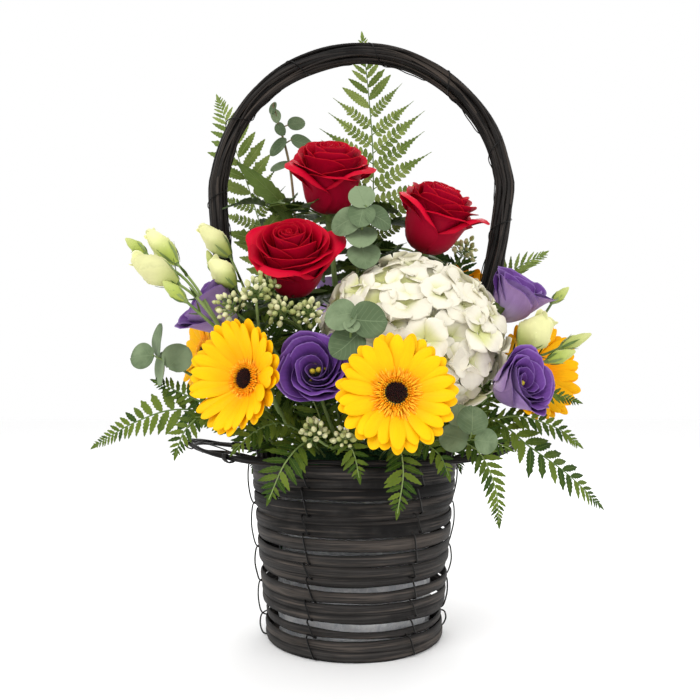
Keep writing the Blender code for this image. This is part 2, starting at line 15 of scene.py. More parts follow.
import bpy
import numpy as np
from mathutils import Matrix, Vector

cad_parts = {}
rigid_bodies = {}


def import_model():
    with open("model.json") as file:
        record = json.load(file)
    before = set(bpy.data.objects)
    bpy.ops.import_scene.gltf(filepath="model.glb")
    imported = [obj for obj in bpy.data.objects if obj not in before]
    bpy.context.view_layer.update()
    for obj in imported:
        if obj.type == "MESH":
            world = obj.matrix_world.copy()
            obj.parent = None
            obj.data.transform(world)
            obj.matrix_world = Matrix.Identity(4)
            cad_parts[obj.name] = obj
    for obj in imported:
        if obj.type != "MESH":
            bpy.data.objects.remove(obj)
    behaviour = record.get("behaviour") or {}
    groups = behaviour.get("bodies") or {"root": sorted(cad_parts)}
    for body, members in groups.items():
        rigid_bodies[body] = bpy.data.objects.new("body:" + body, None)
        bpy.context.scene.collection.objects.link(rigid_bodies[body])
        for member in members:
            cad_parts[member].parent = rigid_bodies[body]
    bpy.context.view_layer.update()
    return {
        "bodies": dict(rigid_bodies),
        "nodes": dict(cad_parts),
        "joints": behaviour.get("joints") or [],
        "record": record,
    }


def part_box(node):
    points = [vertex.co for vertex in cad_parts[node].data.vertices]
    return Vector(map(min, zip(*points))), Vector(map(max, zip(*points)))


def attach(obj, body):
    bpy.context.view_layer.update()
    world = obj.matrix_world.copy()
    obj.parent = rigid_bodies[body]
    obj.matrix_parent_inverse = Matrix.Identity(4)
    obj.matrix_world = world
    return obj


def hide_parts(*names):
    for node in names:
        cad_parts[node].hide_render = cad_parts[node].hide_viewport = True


MM = 0.001
BODY = "root"
GOLDEN_ANGLE = math.pi * (3.0 - math.sqrt(5.0))
UP = np.array([0.0, 0.0, 1.0])
LOG = logging.getLogger("flower_basket")
FRAME: dict = {}

Array = np.ndarray
Point = tuple[float, float, float]
Route = tuple[Point, ...]
Colour = tuple[float, float, float, float]
Socket = bpy.types.NodeSocket


def unit(vectors: Array) -> Array:
    """Scale vectors along the last axis to length one."""
    return vectors / np.maximum(np.linalg.norm(vectors, axis=-1, keepdims=True), 1e-9)


def smoothstep(low: float, high: float, value: Array) -> Array:
    """Ease values from 0 at low to 1 at high."""
    share = np.clip((value - low) / (high - low), 0.0, 1.0)
    return share * share * (3.0 - 2.0 * share)


def polar(turn: float, radius: float = 1.0, height: float = 0.0) -> Array:
    """Give the point at a direction, a radius and a height."""
    return np.array([radius * math.cos(turn), radius * math.sin(turn), height])


def turned(ahead: Array, side: Array, height: Array, turn: float) -> Array:
    """Turn a petal that lies along X about the Z axis, with its columns the other way round.

    Args:
        ahead: Distance of each point along X.
        side: Distance along Y.
        height: Height.
        turn: Turn in radians.

    Returns:
        The points.
    """
    return np.stack([ahead * math.cos(turn) - side * math.sin(turn),
                     ahead * math.sin(turn) + side * math.cos(turn), height], axis=-1)[:, ::-1]


def spine(*heights: float) -> Array:
    """Give points on the Z axis."""
    return np.outer(heights, UP)


def stretches(route: Array) -> Array:
    """Give the distance from each point of a route to the next."""
    return np.linalg.norm(np.diff(route, axis=0), axis=1)


def travelled(route: Array) -> Array:
    """Give the distance along a route at each of its points."""
    return np.concatenate([[0.0], np.cumsum(stretches(route))])


def smooth_route(points: Route | Array, steps: int) -> Array:
    """Run a Catmull-Rom curve through points.

    Args:
        points: Points that the curve passes.
        steps: Stretches between two given points.

    Returns:
        Points on the curve, both ends included.
    """
    knots = np.asarray(points, dtype=float)
    ends = np.vstack([knots[0] * 2 - knots[1], knots, knots[-1] * 2 - knots[-2]])
    share = np.arange(steps)[:, None] / steps
    pieces = [0.5 * (2 * b + (c - a) * share + (2 * a - 5 * b + 4 * c - d) * share ** 2
                     + (3 * b - a - 3 * c + d) * share ** 3)
              for a, b, c, d in zip(ends, ends[1:], ends[2:], ends[3:])]
    return np.vstack(pieces + [knots[-1:]])


def between(wanted: Array, known: Array, points: Array) -> Array:
    """Read points at wanted positions between known ones."""
    return np.stack([np.interp(wanted, known, points[:, k]) for k in range(3)], axis=-1)


def along_route(route: Array, count: int) -> Array:
    """Space a number of points evenly along a route."""
    reached = travelled(route)
    return between(np.linspace(0.0, reached[-1], count), reached, route)


def basis(axis: Array | Point, roll: float = 0.0, hint: Array | Point = UP) -> Array:
    """Build three directions round an axis.

    Args:
        axis: Direction of the third row.
        roll: Turn about the axis, in radians.
        hint: Direction that the second row leans to.

    Returns:
        Rows x, y and z, each of length one.
    """
    z = unit(np.asarray(axis, dtype=float))
    guide = np.asarray(hint, dtype=float)
    if abs(float(z @ unit(guide))) > 0.98:
        guide = np.array([0.0, 1.0, 0.0])
    x = unit(np.cross(guide, z))
    y = np.cross(z, x)
    turned_x = x * math.cos(roll) + y * math.sin(roll)
    return np.vstack([turned_x, np.cross(z, turned_x), z])


def carried(route: Array, closed: bool = False) -> tuple[Array, Array]:
    """Carry two cross directions along a route without twisting them.

    Args:
        route: Points of the route.
        closed: Whether the route is a level loop, where the first direction stays upright.

    Returns:
        The first and second cross direction at each point.
    """
    if closed:
        tangent = unit(np.roll(route, -1, axis=0) - np.roll(route, 1, axis=0))
        second = unit(np.cross(tangent, UP))
        return np.cross(second, tangent), second
    tangent = unit(np.gradient(route, axis=0))
    first = np.empty_like(route)
    first[0] = basis(tangent[0])[0]
    for index in range(1, len(route)):
        first[index] = unit(first[index - 1] - tangent[index] * (first[index - 1] @ tangent[index]))
    return first, np.cross(tangent, first)


def grid_faces(rows: int, columns: int, wrap_rows: bool = False, wrap_columns: bool = False) -> Array:
    """List the quads of a grid of points.

    Args:
        rows: Number of rows.
        columns: Number of points in a row.
        wrap_rows: Whether the last row joins the first.
        wrap_columns: Whether a row closes on itself.

    Returns:
        Corner numbers, four to a face.
    """
    i, j = np.meshgrid(np.arange(rows if wrap_rows else rows - 1),
                       np.arange(columns if wrap_columns else columns - 1), indexing="ij")
    i, j = i.ravel(), j.ravel()
    up, right = (i + 1) % rows, (j + 1) % columns
    return np.column_stack([i * columns + j, i * columns + right, up * columns + right, up * columns + j])


class Effect(Enum):
    """Effects that several materials share, by the names of their node groups."""

    GRAIN = "Long grain"
    WEAR = "Edge wear"
    PETAL = "Petal shading"
    VEINS = "Leaf veins"
    MOTTLE = "Mottle"


class Graph:
    """Adds nodes to the shader tree of a material or of a shared effect.

    A keyword that names a socket has underscores in place of spaces.
    """

    def __init__(self, tree: bpy.types.NodeTree, sink: bpy.types.Node) -> None:
        """Work on a tree, whose results go to the inputs of the sink."""
        self.tree, self.sink = tree, sink

    def node(self, kind: str, inputs: dict | None = None, **settings: object) -> bpy.types.NodeOutputs:
        """Add a node.

        Args:
            kind: Type name without its ShaderNode start.
            inputs: Values or output sockets for its inputs, by name or number.
            settings: Properties of the node.

        Returns:
            Its output sockets.
        """
        made = self.tree.nodes.new(f"ShaderNode{kind}")
        for key, value in settings.items():
            setattr(made, key, value)
        for key, value in (inputs or {}).items():
            if isinstance(value, Socket):
                self.tree.links.new(value, made.inputs[key])
            else:
                made.inputs[key].default_value = value
        return made.outputs

    def results(self, **values: Socket) -> None:
        """Lead results to the sink's inputs."""
        for key, value in values.items():
            self.tree.links.new(value, self.sink.inputs[key.replace("_", " ")])

    def effect(self, effect: Effect, **values: object) -> bpy.types.NodeOutputs:
        """Place a shared effect, which is built when it is first asked for.

        Args:
            effect: The effect.
            values: Values or output sockets for its inputs.

        Returns:
            Its output sockets.
        """
        if effect.value not in bpy.data.node_groups:
            EFFECTS[effect]()
        return self.node("Group", {key.replace("_", " "): value for key, value in values.items()},
                         node_tree=bpy.data.node_groups[effect.value])

    def math(self, operation: str, *values: object) -> Socket:
        """Add a Math node and give its output."""
        return self.node("Math", dict(enumerate(values)), operation=operation)[0]

    def times(self, first: object, second: object) -> Socket:
        """Multiply two values."""
        return self.math("MULTIPLY", first, second)

    def plus(self, first: object, second: object) -> Socket:
        """Add two values."""
        return self.math("ADD", first, second)

    def minus(self, first: object, second: object) -> Socket:
        """Take the second value from the first."""
        return self.math("SUBTRACT", first, second)

    def mix(self, share: object, first: object, second: object) -> Socket:
        """Mix two colours and give the result."""
        return self.node("Mix", {0: share, 6: first, 7: second}, data_type="RGBA")[2]

    def ease(self, value: object, low: object, high: object, start: float = 0.0, end: float = 1.0) -> Socket:
        """Ease a value between two limits and give the result."""
        return self.node("MapRange", {"Value": value, "From Min": low, "From Max": high, "To Min": start,
                                      "To Max": end}, interpolation_type="SMOOTHSTEP")[0]

    def noise(self, vector: object, scale: object, detail: float = 3.0, roughness: float = 0.5) -> Socket:
        """Add a Noise Texture and give its value."""
        return self.node("TexNoise", {"Vector": vector, "Scale": scale, "Detail": detail,
                                      "Roughness": roughness})[0]

    def stretched(self, vector: object, by: Point) -> Socket:
        """Multiply a vector by fixed factors and give the result."""
        return self.node("VectorMath", {0: vector, 1: by}, operation="MULTIPLY")[0]

    def surface(self) -> Socket:
        """Give the surface place."""
        return self.node("Attribute", attribute_name="surface")["Vector"]

    def tone(self) -> Socket:
        """Give the tone."""
        return self.node("Attribute", attribute_name="tone")["Fac"]

    def place(self) -> Socket:
        """Give the place on the object, in metres."""
        return self.node("TexCoord")["Object"]

    def parts(self, vector: object) -> tuple[Socket, ...]:
        """Split a vector into its three numbers."""
        return tuple(self.node("SeparateXYZ", {0: vector}))

    def joined(self, x: object, y: object, z: object) -> Socket:
        """Join three numbers into a vector."""
        return self.node("CombineXYZ", {0: x, 1: y, 2: z})[0]

    def bump(self, height: object, strength: float, distance: float) -> Socket:
        """Turn a height into a normal, with the distance in millimetres."""
        return self.node("Bump", {"Height": height, "Strength": strength, "Distance": distance * MM})[0]


def shared(effect: Effect, outputs: tuple[str, ...], **inputs: object) -> tuple[Graph, dict[str, Socket]]:
    """Start the node group of an effect.

    Args:
        effect: The effect.
        outputs: Names of its outputs: a Colour, or else numbers.
        inputs: Default value of each input; four parts make a colour and three a vector.

    Returns:
        Its graph, and its input sockets by keyword.
    """
    tree = bpy.data.node_groups.new(effect.value, "ShaderNodeTree")
    for key, value in inputs.items():
        kind = {1: "Float", 3: "Vector", 4: "Color"}[len(value) if isinstance(value, tuple) else 1]
        tree.interface.new_socket(key.replace("_", " "), in_out="INPUT",
                                  socket_type=f"NodeSocket{kind}").default_value = value
    for key in outputs:
        kind = "Color" if key == "Colour" else "Float"
        tree.interface.new_socket(key, in_out="OUTPUT", socket_type=f"NodeSocket{kind}")
    source = tree.nodes.new("NodeGroupInput")
    graph = Graph(tree, tree.nodes.new("NodeGroupOutput"))
    return graph, {key: source.outputs[key.replace("_", " ")] for key in inputs}


def build_grain() -> None:
    """Build streaks that run along the first part of a vector."""
    graph, given = shared(Effect.GRAIN, ("Streak", "Height"), Vector=(0.0, 0.0, 0.0), Fineness=1.0,
                          Length=60.0)
    x, y, z = graph.parts(given["Vector"])
    slow = graph.math("DIVIDE", x, given["Length"])
    fine = graph.times(y, given["Fineness"])
    coarse = graph.noise(graph.joined(slow, fine, z), 1.0, 4.0, 0.62)
    close = graph.noise(graph.joined(graph.times(slow, 2.3), graph.times(fine, 3.1), z), 1.0, 3.0, 0.7)
    both = graph.plus(graph.times(coarse, 0.6), graph.times(close, 0.4))
    graph.results(Streak=graph.ease(both, 0.38, 0.64), Height=both)


def build_wear() -> None:
    """Build a broken line of wear where a share of the half width nears one."""
    graph, given = shared(Effect.WEAR, ("Mask",), Across=0.0, Vector=(0.0, 0.0, 0.0), Width=0.2)
    near = graph.ease(graph.math("ABSOLUTE", given["Across"]), graph.minus(1.0, given["Width"]), 1.0)
    broken = graph.ease(graph.noise(given["Vector"], 0.35, 4.0, 0.7), 0.42, 0.62)
    graph.results(Mask=graph.times(near, broken))


def build_petal() -> None:
    """Build the colours of a petal from its foot to its edge, with long fine veins."""
    white = (1.0, 1.0, 1.0, 1.0)
    graph, given = shared(Effect.PETAL, ("Colour", "Height"), Front=white, Back=white, Foot=white,
                          Edge=white, Foot_Reach=0.4, Edge_Width=0.1, Vein_Count=14.0, Vein_Depth=0.2,
                          Spread=0.2)
    across, along, side = graph.parts(graph.surface())
    tone = graph.tone()
    rib = graph.joined(graph.times(across, given["Vein_Count"]), graph.times(along, 1.6),
                       graph.times(tone, 37.0))
    vein = graph.noise(rib, 1.0, 2.0, 0.55)
    cloud = graph.noise(graph.place(), 90.0, 3.0, 0.6)
    colour = graph.mix(graph.ease(side, -0.2, 0.2), given["Back"], given["Front"])
    drift = graph.times(graph.minus(tone, 0.5), -0.3)
    foot = graph.ease(graph.plus(along, drift), 0.0, given["Foot_Reach"], 1.0, 0.0)
    colour = graph.mix(foot, colour, given["Foot"])
    rim = graph.math("MAXIMUM", graph.math("ABSOLUTE", across), along)
    colour = graph.mix(graph.ease(rim, graph.minus(1.0, given["Edge_Width"]), 1.0), colour, given["Edge"])
    shade = graph.times(graph.minus(tone, 0.5), given["Spread"])
    shade = graph.plus(shade, graph.times(graph.minus(vein, 0.5), given["Vein_Depth"]))
    shade = graph.plus(shade, graph.times(graph.minus(cloud, 0.5), given["Spread"]))
    varied = graph.node("HueSaturation", {"Color": colour, "Value": graph.plus(1.0, shade)})
    graph.results(Colour=varied[0], Height=vein)


def build_veins() -> None:
    """Build a midrib with slanting side veins."""
    graph, given = shared(Effect.VEINS, ("Mask", "Height"), Count=8.0, Slant=1.2, Width=0.1)
    across, along, _ = graph.parts(graph.surface())
    from_rib = graph.math("ABSOLUTE", across)
    rib = graph.ease(from_rib, graph.times(given["Width"], 0.4), given["Width"], 1.0, 0.0)
    run = graph.minus(graph.times(along, given["Count"]), graph.times(from_rib, given["Slant"]))
    bend = graph.times(graph.noise(graph.place(), 160.0, 2.0), 0.35)
    side = graph.ease(graph.math("PINGPONG", graph.plus(run, bend), 0.5), 0.0, 0.12, 0.55, 0.0)
    side = graph.times(side, graph.ease(from_rib, 0.6, 1.0, 1.0, 0.0))
    mask = graph.math("MAXIMUM", rib, side)
    graph.results(Mask=mask, Height=graph.minus(1.0, mask))


def build_mottle() -> None:
    """Build a soft drift between two colours, moved by the tone."""
    grey = (0.5, 0.5, 0.5, 1.0)
    graph, given = shared(Effect.MOTTLE, ("Colour", "Cloud"), Dark=grey, Light=grey, Scale=60.0)
    cloud = graph.noise(graph.place(), given["Scale"], 4.0, 0.6)
    share = graph.plus(cloud, graph.times(graph.minus(graph.tone(), 0.5), 0.7))
    graph.results(Colour=graph.mix(graph.ease(share, 0.25, 0.75), given["Dark"], given["Light"]), Cloud=cloud)


EFFECTS = {Effect.GRAIN: build_grain, Effect.WEAR: build_wear, Effect.PETAL: build_petal,
           Effect.VEINS: build_veins, Effect.MOTTLE: build_mottle}


def coat(name: str, roughness: float, **constants: object) -> Graph:
    """Start a material.

    Args:
        name: Name of the material.
        roughness: Roughness where no node sets it.
        constants: Other inputs of its Principled shader, with underscores for spaces.

    Returns:
        Its graph, whose results go to the Principled shader.
    """
    made = bpy.data.materials.new(name)
    made.use_nodes = True
    shader = made.node_tree.nodes["Principled BSDF"]
    shader.inputs["Roughness"].default_value = roughness
    for key, value in constants.items():
        shader.inputs[key.replace("_", " ")].default_value = value
    return Graph(made.node_tree, shader)


@dataclass(frozen=True)
class PetalFinish:
    """A petal's skin."""

    name: str
    front: Colour
    back: Colour
    foot: Colour
    edge: Colour
    foot_reach: float
    edge_width: float
    vein_count: float
    vein_depth: float
    spread: float
    roughness: float
    relief: float

    def build(self) -> None:
        """Build the material."""
        graph = coat(self.name, self.roughness, Specular_IOR_Level=0.1)
        shading = graph.effect(
            Effect.PETAL, Front=self.front, Back=self.back, Foot=self.foot, Edge=self.edge,
            Foot_Reach=self.foot_reach, Edge_Width=self.edge_width, Vein_Count=self.vein_count,
            Vein_Depth=self.vein_depth, Spread=self.spread)
        graph.results(Base_Color=shading["Colour"], Normal=graph.bump(shading["Height"], 0.6, self.relief))


@dataclass(frozen=True)
class LeafFinish:
    """A leaf's skin with its veins."""

    name: str
    dark: Colour
    light: Colour
    vein: Colour
    count: float
    slant: float
    width: float
    roughness: float
    relief: float
    waxy: float = 0.0

    def build(self) -> None:
        """Build the material."""
        graph = coat(self.name, self.roughness, Sheen_Weight=self.waxy, Sheen_Roughness=0.6,
                     Specular_IOR_Level=0.12)
        cloud = graph.effect(Effect.MOTTLE, Dark=self.dark, Light=self.light, Scale=55.0)
        veins = graph.effect(Effect.VEINS, Count=self.count, Slant=self.slant, Width=self.width)
        graph.results(Base_Color=graph.mix(graph.times(veins["Mask"], 0.75), cloud["Colour"], self.vein),
                      Roughness=graph.plus(graph.times(cloud["Cloud"], 0.2), self.roughness - 0.1),
                      Normal=graph.bump(veins["Height"], 0.7, self.relief))


@dataclass(frozen=True)
class StemFinish:
    """A stem, stalk or small bead, ribbed along its length."""

    name: str
    dark: Colour
    light: Colour
    ribs: float = 5.0
    roughness: float = 0.5
    scale: float = 70.0

    def build(self) -> None:
        """Build the material."""
        graph = coat(self.name, self.roughness, Specular_IOR_Level=0.35)
        cloud = graph.effect(Effect.MOTTLE, Dark=self.dark, Light=self.light, Scale=self.scale)
        rib = graph.noise(graph.stretched(graph.surface(), (self.ribs, self.ribs, 0.1)), 1.0, 3.0)
        graph.results(Base_Color=cloud["Colour"],
                      Roughness=graph.plus(graph.times(rib, 0.3), self.roughness - 0.15),
                      Normal=graph.bump(rib, 0.5, 0.2))


@dataclass(frozen=True)
class WoodFinish:
    """Black-stained wood whose grain runs along the piece and shows brown where it is worn, with painted
    shade along its edges.
    """

    name: str
    stain: Colour
    grain: Colour
    bare: Colour
    round: bool
    fineness: float
    run: float
    relief: float
    roughness: float

    def build(self) -> None:
        """Build the material."""
        graph = coat(self.name, self.roughness, Specular_IOR_Level=0.1)
        x, y, z = graph.parts(graph.surface())
        drift = graph.times(graph.tone(), 53.0)
        if self.round:
            vector = graph.joined(z, graph.times(x, 3.0), graph.plus(graph.times(y, 3.0), drift))
            across = graph.times(x, 0.9)
        else:
            vector = graph.joined(x, y, drift)
            across = z
        grain = graph.effect(Effect.GRAIN, Vector=vector, Fineness=self.fineness, Length=self.run)
        worn = graph.effect(Effect.GRAIN, Vector=vector, Fineness=self.fineness * 0.17, Length=self.run * 1.5)
        ahead, beside, down = graph.parts(vector)
        wear = graph.effect(Effect.WEAR, Across=across, Width=0.12,
                            Vector=graph.joined(graph.times(ahead, 0.15), beside, down))
        cloud = graph.effect(Effect.MOTTLE, Dark=self.stain, Light=self.grain, Scale=45.0)
        streak = grain["Streak"]
        colour = graph.mix(graph.ease(streak, 0.0, 1.0, 0.25, 0.95), self.stain, cloud["Colour"])
        patch = graph.ease(worn["Streak"], 0.4, 0.95, 0.0, 0.6)
        rubbed = graph.times(patch, graph.ease(streak, 0.0, 1.0, 0.45, 1.0))
        colour = graph.mix(rubbed, colour, self.bare)
        colour = graph.mix(graph.times(wear["Mask"], 0.15), colour, self.bare)
        # Painted shade: each splint darkens towards the stain along its edges, and each vine along its sides,
        # where its neighbours shade it.
        rim = graph.ease(graph.math("ABSOLUTE", across), 0.45, 0.95, 0.0, 0.8)
        graph.results(Base_Color=graph.mix(rim, colour, self.stain),
                      Roughness=graph.plus(graph.times(streak, 0.25), self.roughness - 0.1),
                      Normal=graph.bump(grain["Height"], 0.9, self.relief))


@dataclass(frozen=True)
class WireFinish:
    """Dark annealed wire."""

    name: str
    colour: Colour
    worn: Colour

    def build(self) -> None:
        """Build the material."""
        graph = coat(self.name, 0.42, Metallic=0.7)
        cloud = graph.effect(Effect.MOTTLE, Dark=self.colour, Light=self.worn, Scale=400.0)
        graph.results(Base_Color=cloud["Colour"],
                      Roughness=graph.plus(graph.times(cloud["Cloud"], 0.3), 0.28),
                      Normal=graph.bump(cloud["Cloud"], 0.4, 0.1))


@dataclass(frozen=True)
class FilmFinish:
    """Thin cloudy plastic film, with painted white highlights on its crinkles."""

    name: str
    colour: Colour
    crease: Colour

    def build(self) -> None:
        """Build the material."""
        graph = coat(self.name, 0.2, Specular_IOR_Level=0.6)
        # The white crease colour is painted highlight: it is mixed into the film's cloudiness in soft patches
        # and drawn in fine streaks along the crinkles.
        cloud = graph.effect(Effect.MOTTLE, Dark=self.colour, Light=self.crease, Scale=130.0)
        fine = graph.noise(graph.stretched(graph.place(), (1.0, 1.0, 0.8)), 95.0, 5.0, 0.75)
        graph.results(Base_Color=graph.mix(graph.ease(fine, 0.5, 0.66), cloud["Colour"], self.crease),
                      Alpha=graph.ease(fine, 0.35, 0.6, 0.88, 1.0),
                      Roughness=graph.ease(fine, 0.3, 0.7, 0.12, 0.4), Normal=graph.bump(fine, 0.9, 1.2))


@dataclass(frozen=True)
class FoamFinish:
    """Wet floral foam with open pores."""

    name: str
    dark: Colour
    light: Colour

    def build(self) -> None:
        """Build the material."""
        graph = coat(self.name, 0.95, Specular_IOR_Level=0.15)
        cloud = graph.effect(Effect.MOTTLE, Dark=self.dark, Light=self.light, Scale=120.0)
        pores = graph.node("TexVoronoi", {"Vector": graph.place(), "Scale": 900.0})["Distance"]
        # Painted shade: the pores are drawn in the dark colour, for the shade inside them.
        graph.results(Base_Color=graph.mix(graph.ease(pores, 0.1, 0.5), self.dark, cloud["Colour"]),
                      Normal=graph.bump(pores, 1.0, 0.6))


class Finish(Enum):
    """Every finish, by what it covers."""

    SPLINT = WoodFinish("Black stained splint", (0.006, 0.0055, 0.0053, 1), (0.046, 0.042, 0.0395, 1),
                        (0.12, 0.098, 0.082, 1), False, 1.0, 95.0, 0.5, 0.58)
    VINE = WoodFinish("Black stained vine", (0.005, 0.0046, 0.0044, 1), (0.030, 0.0265, 0.0245, 1),
                      (0.09, 0.07, 0.056, 1), True, 0.9, 70.0, 0.25, 0.45)
    WIRE = WireFinish("Black annealed wire", (0.003, 0.003, 0.003, 1), (0.014, 0.013, 0.012, 1))
    # The film's second colour, pure white, is painted highlight for its crinkles.
    FILM = FilmFinish("Clear liner film", (0.72, 0.74, 0.79, 1), (1.0, 1.0, 1.0, 1))
    FOAM = FoamFinish("Floral foam", (0.010, 0.036, 0.013, 1), (0.028, 0.088, 0.034, 1))
    ROSE = PetalFinish("Red rose petal", (0.56, 0.0, 0.022, 1), (0.36, 0.001, 0.022, 1),
                       (0.16, 0.0, 0.006, 1), (0.55, 0.006, 0.02, 1), 0.5, 0.035, 16.0, 0.10, 0.2,
                       0.55, 0.1)
    GERBERA = PetalFinish("Yellow gerbera ray", (0.94, 0.505, 0.001, 1), (0.88, 0.42, 0.002, 1),
                          (0.93, 0.36, 0.001, 1), (0.97, 0.58, 0.003, 1), 0.5, 0.12, 7.0, 0.16, 0.12,
                          0.5, 0.25)
    # The yellow ray made darker and more orange: painted shade for the gerberas that face away or stand
    # behind other flowers.
    GERBERA_ORANGE = PetalFinish("Gerbera ray in painted shade", (0.92, 0.46, 0.002, 1), (0.86, 0.32, 0.002, 1),
                                 (0.90, 0.29, 0.001, 1), (0.95, 0.50, 0.003, 1), 0.45, 0.12, 7.0, 0.2,
                                 0.15, 0.5, 0.25)
    FRINGE = StemFinish("Golden fringe floret", (0.93, 0.36, 0.002, 1), (0.98, 0.56, 0.02, 1), 4.0, 0.55,
                        500.0)
    DISC = StemFinish("Dark disc floret", (0.010, 0.0015, 0.002, 1), (0.036, 0.005, 0.005, 1), 4.0,
                      0.6, 500.0)
    LISIANTHUS = PetalFinish("Purple lisianthus petal", (0.138, 0.05, 0.255, 1), (0.31, 0.195, 0.42, 1),
                             (0.42, 0.34, 0.49, 1), (0.24, 0.13, 0.39, 1), 0.6, 0.05, 20.0, 0.35, 0.35,
                             0.5, 0.15)
    STIGMA = StemFinish("Yellow stigma", (0.35, 0.26, 0.02, 1), (0.62, 0.48, 0.03, 1), 3.0, 0.6, 300.0)
    HYDRANGEA = PetalFinish("White hydrangea petal", (0.77, 0.73, 0.60, 1), (0.75, 0.72, 0.56, 1),
                            (0.62, 0.63, 0.28, 1), (0.80, 0.76, 0.65, 1), 0.36, 0.06, 9.0, 0.10, 0.12,
                            0.6, 0.22)
    BUD = PetalFinish("Cream lisianthus bud", (0.70, 0.69, 0.34, 1), (0.64, 0.65, 0.30, 1),
                      (0.34, 0.42, 0.08, 1), (0.82, 0.79, 0.49, 1), 0.62, 0.12, 6.0, 0.10, 0.25, 0.5, 0.2)
    SKIMMIA = StemFinish("Skimmia bead", (0.34, 0.37, 0.12, 1), (0.68, 0.67, 0.38, 1), 3.0, 0.5, 260.0)
    EUCALYPTUS = LeafFinish("Eucalyptus leaf", (0.088, 0.13, 0.062, 1), (0.20, 0.262, 0.145, 1),
                            (0.175, 0.235, 0.125, 1), 7.0, 2.2, 0.04, 0.65, 0.12, 0.04)
    # One fern leaf in three lights: the lit copy paints light on the fronds at the top, and the shaded copy
    # paints shade on the fronds at the back.
    FERN = LeafFinish("Fern leaf", (0.024, 0.058, 0.004, 1), (0.12, 0.172, 0.018, 1),
                      (0.125, 0.18, 0.035, 1), 9.0, 1.6, 0.09, 0.45, 0.3)
    FERN_LIGHT = LeafFinish("Fern leaf in painted light", (0.12, 0.18, 0.03, 1), (0.25, 0.32, 0.08, 1),
                            (0.28, 0.34, 0.11, 1), 9.0, 1.6, 0.09, 0.5, 0.3)
    FERN_SHADE = LeafFinish("Shaded fern leaf", (0.016, 0.045, 0.005, 1), (0.06, 0.115, 0.014, 1),
                            (0.08, 0.14, 0.025, 1), 9.0, 1.6, 0.09, 0.42, 0.3)
    LEAF = LeafFinish("Broad leaf", (0.024, 0.05, 0.007, 1), (0.085, 0.13, 0.024, 1),
                      (0.12, 0.17, 0.045, 1), 7.0, 1.5, 0.06, 0.45, 0.4)
    STEM = StemFinish("Green stem", (0.10, 0.165, 0.035, 1), (0.21, 0.285, 0.085, 1))
    TWIG = StemFinish("Reddish twig", (0.13, 0.10, 0.045, 1), (0.28, 0.2, 0.10, 1))


def material(finish: Finish) -> bpy.types.Material:
    """Give the material of a finish, which is built when it is first asked for.

    Args:
        finish: The finish.

    Returns:
        The material.
    """
    name = finish.value.name
    if name not in bpy.data.materials:
        finish.value.build()
    return bpy.data.materials[name]


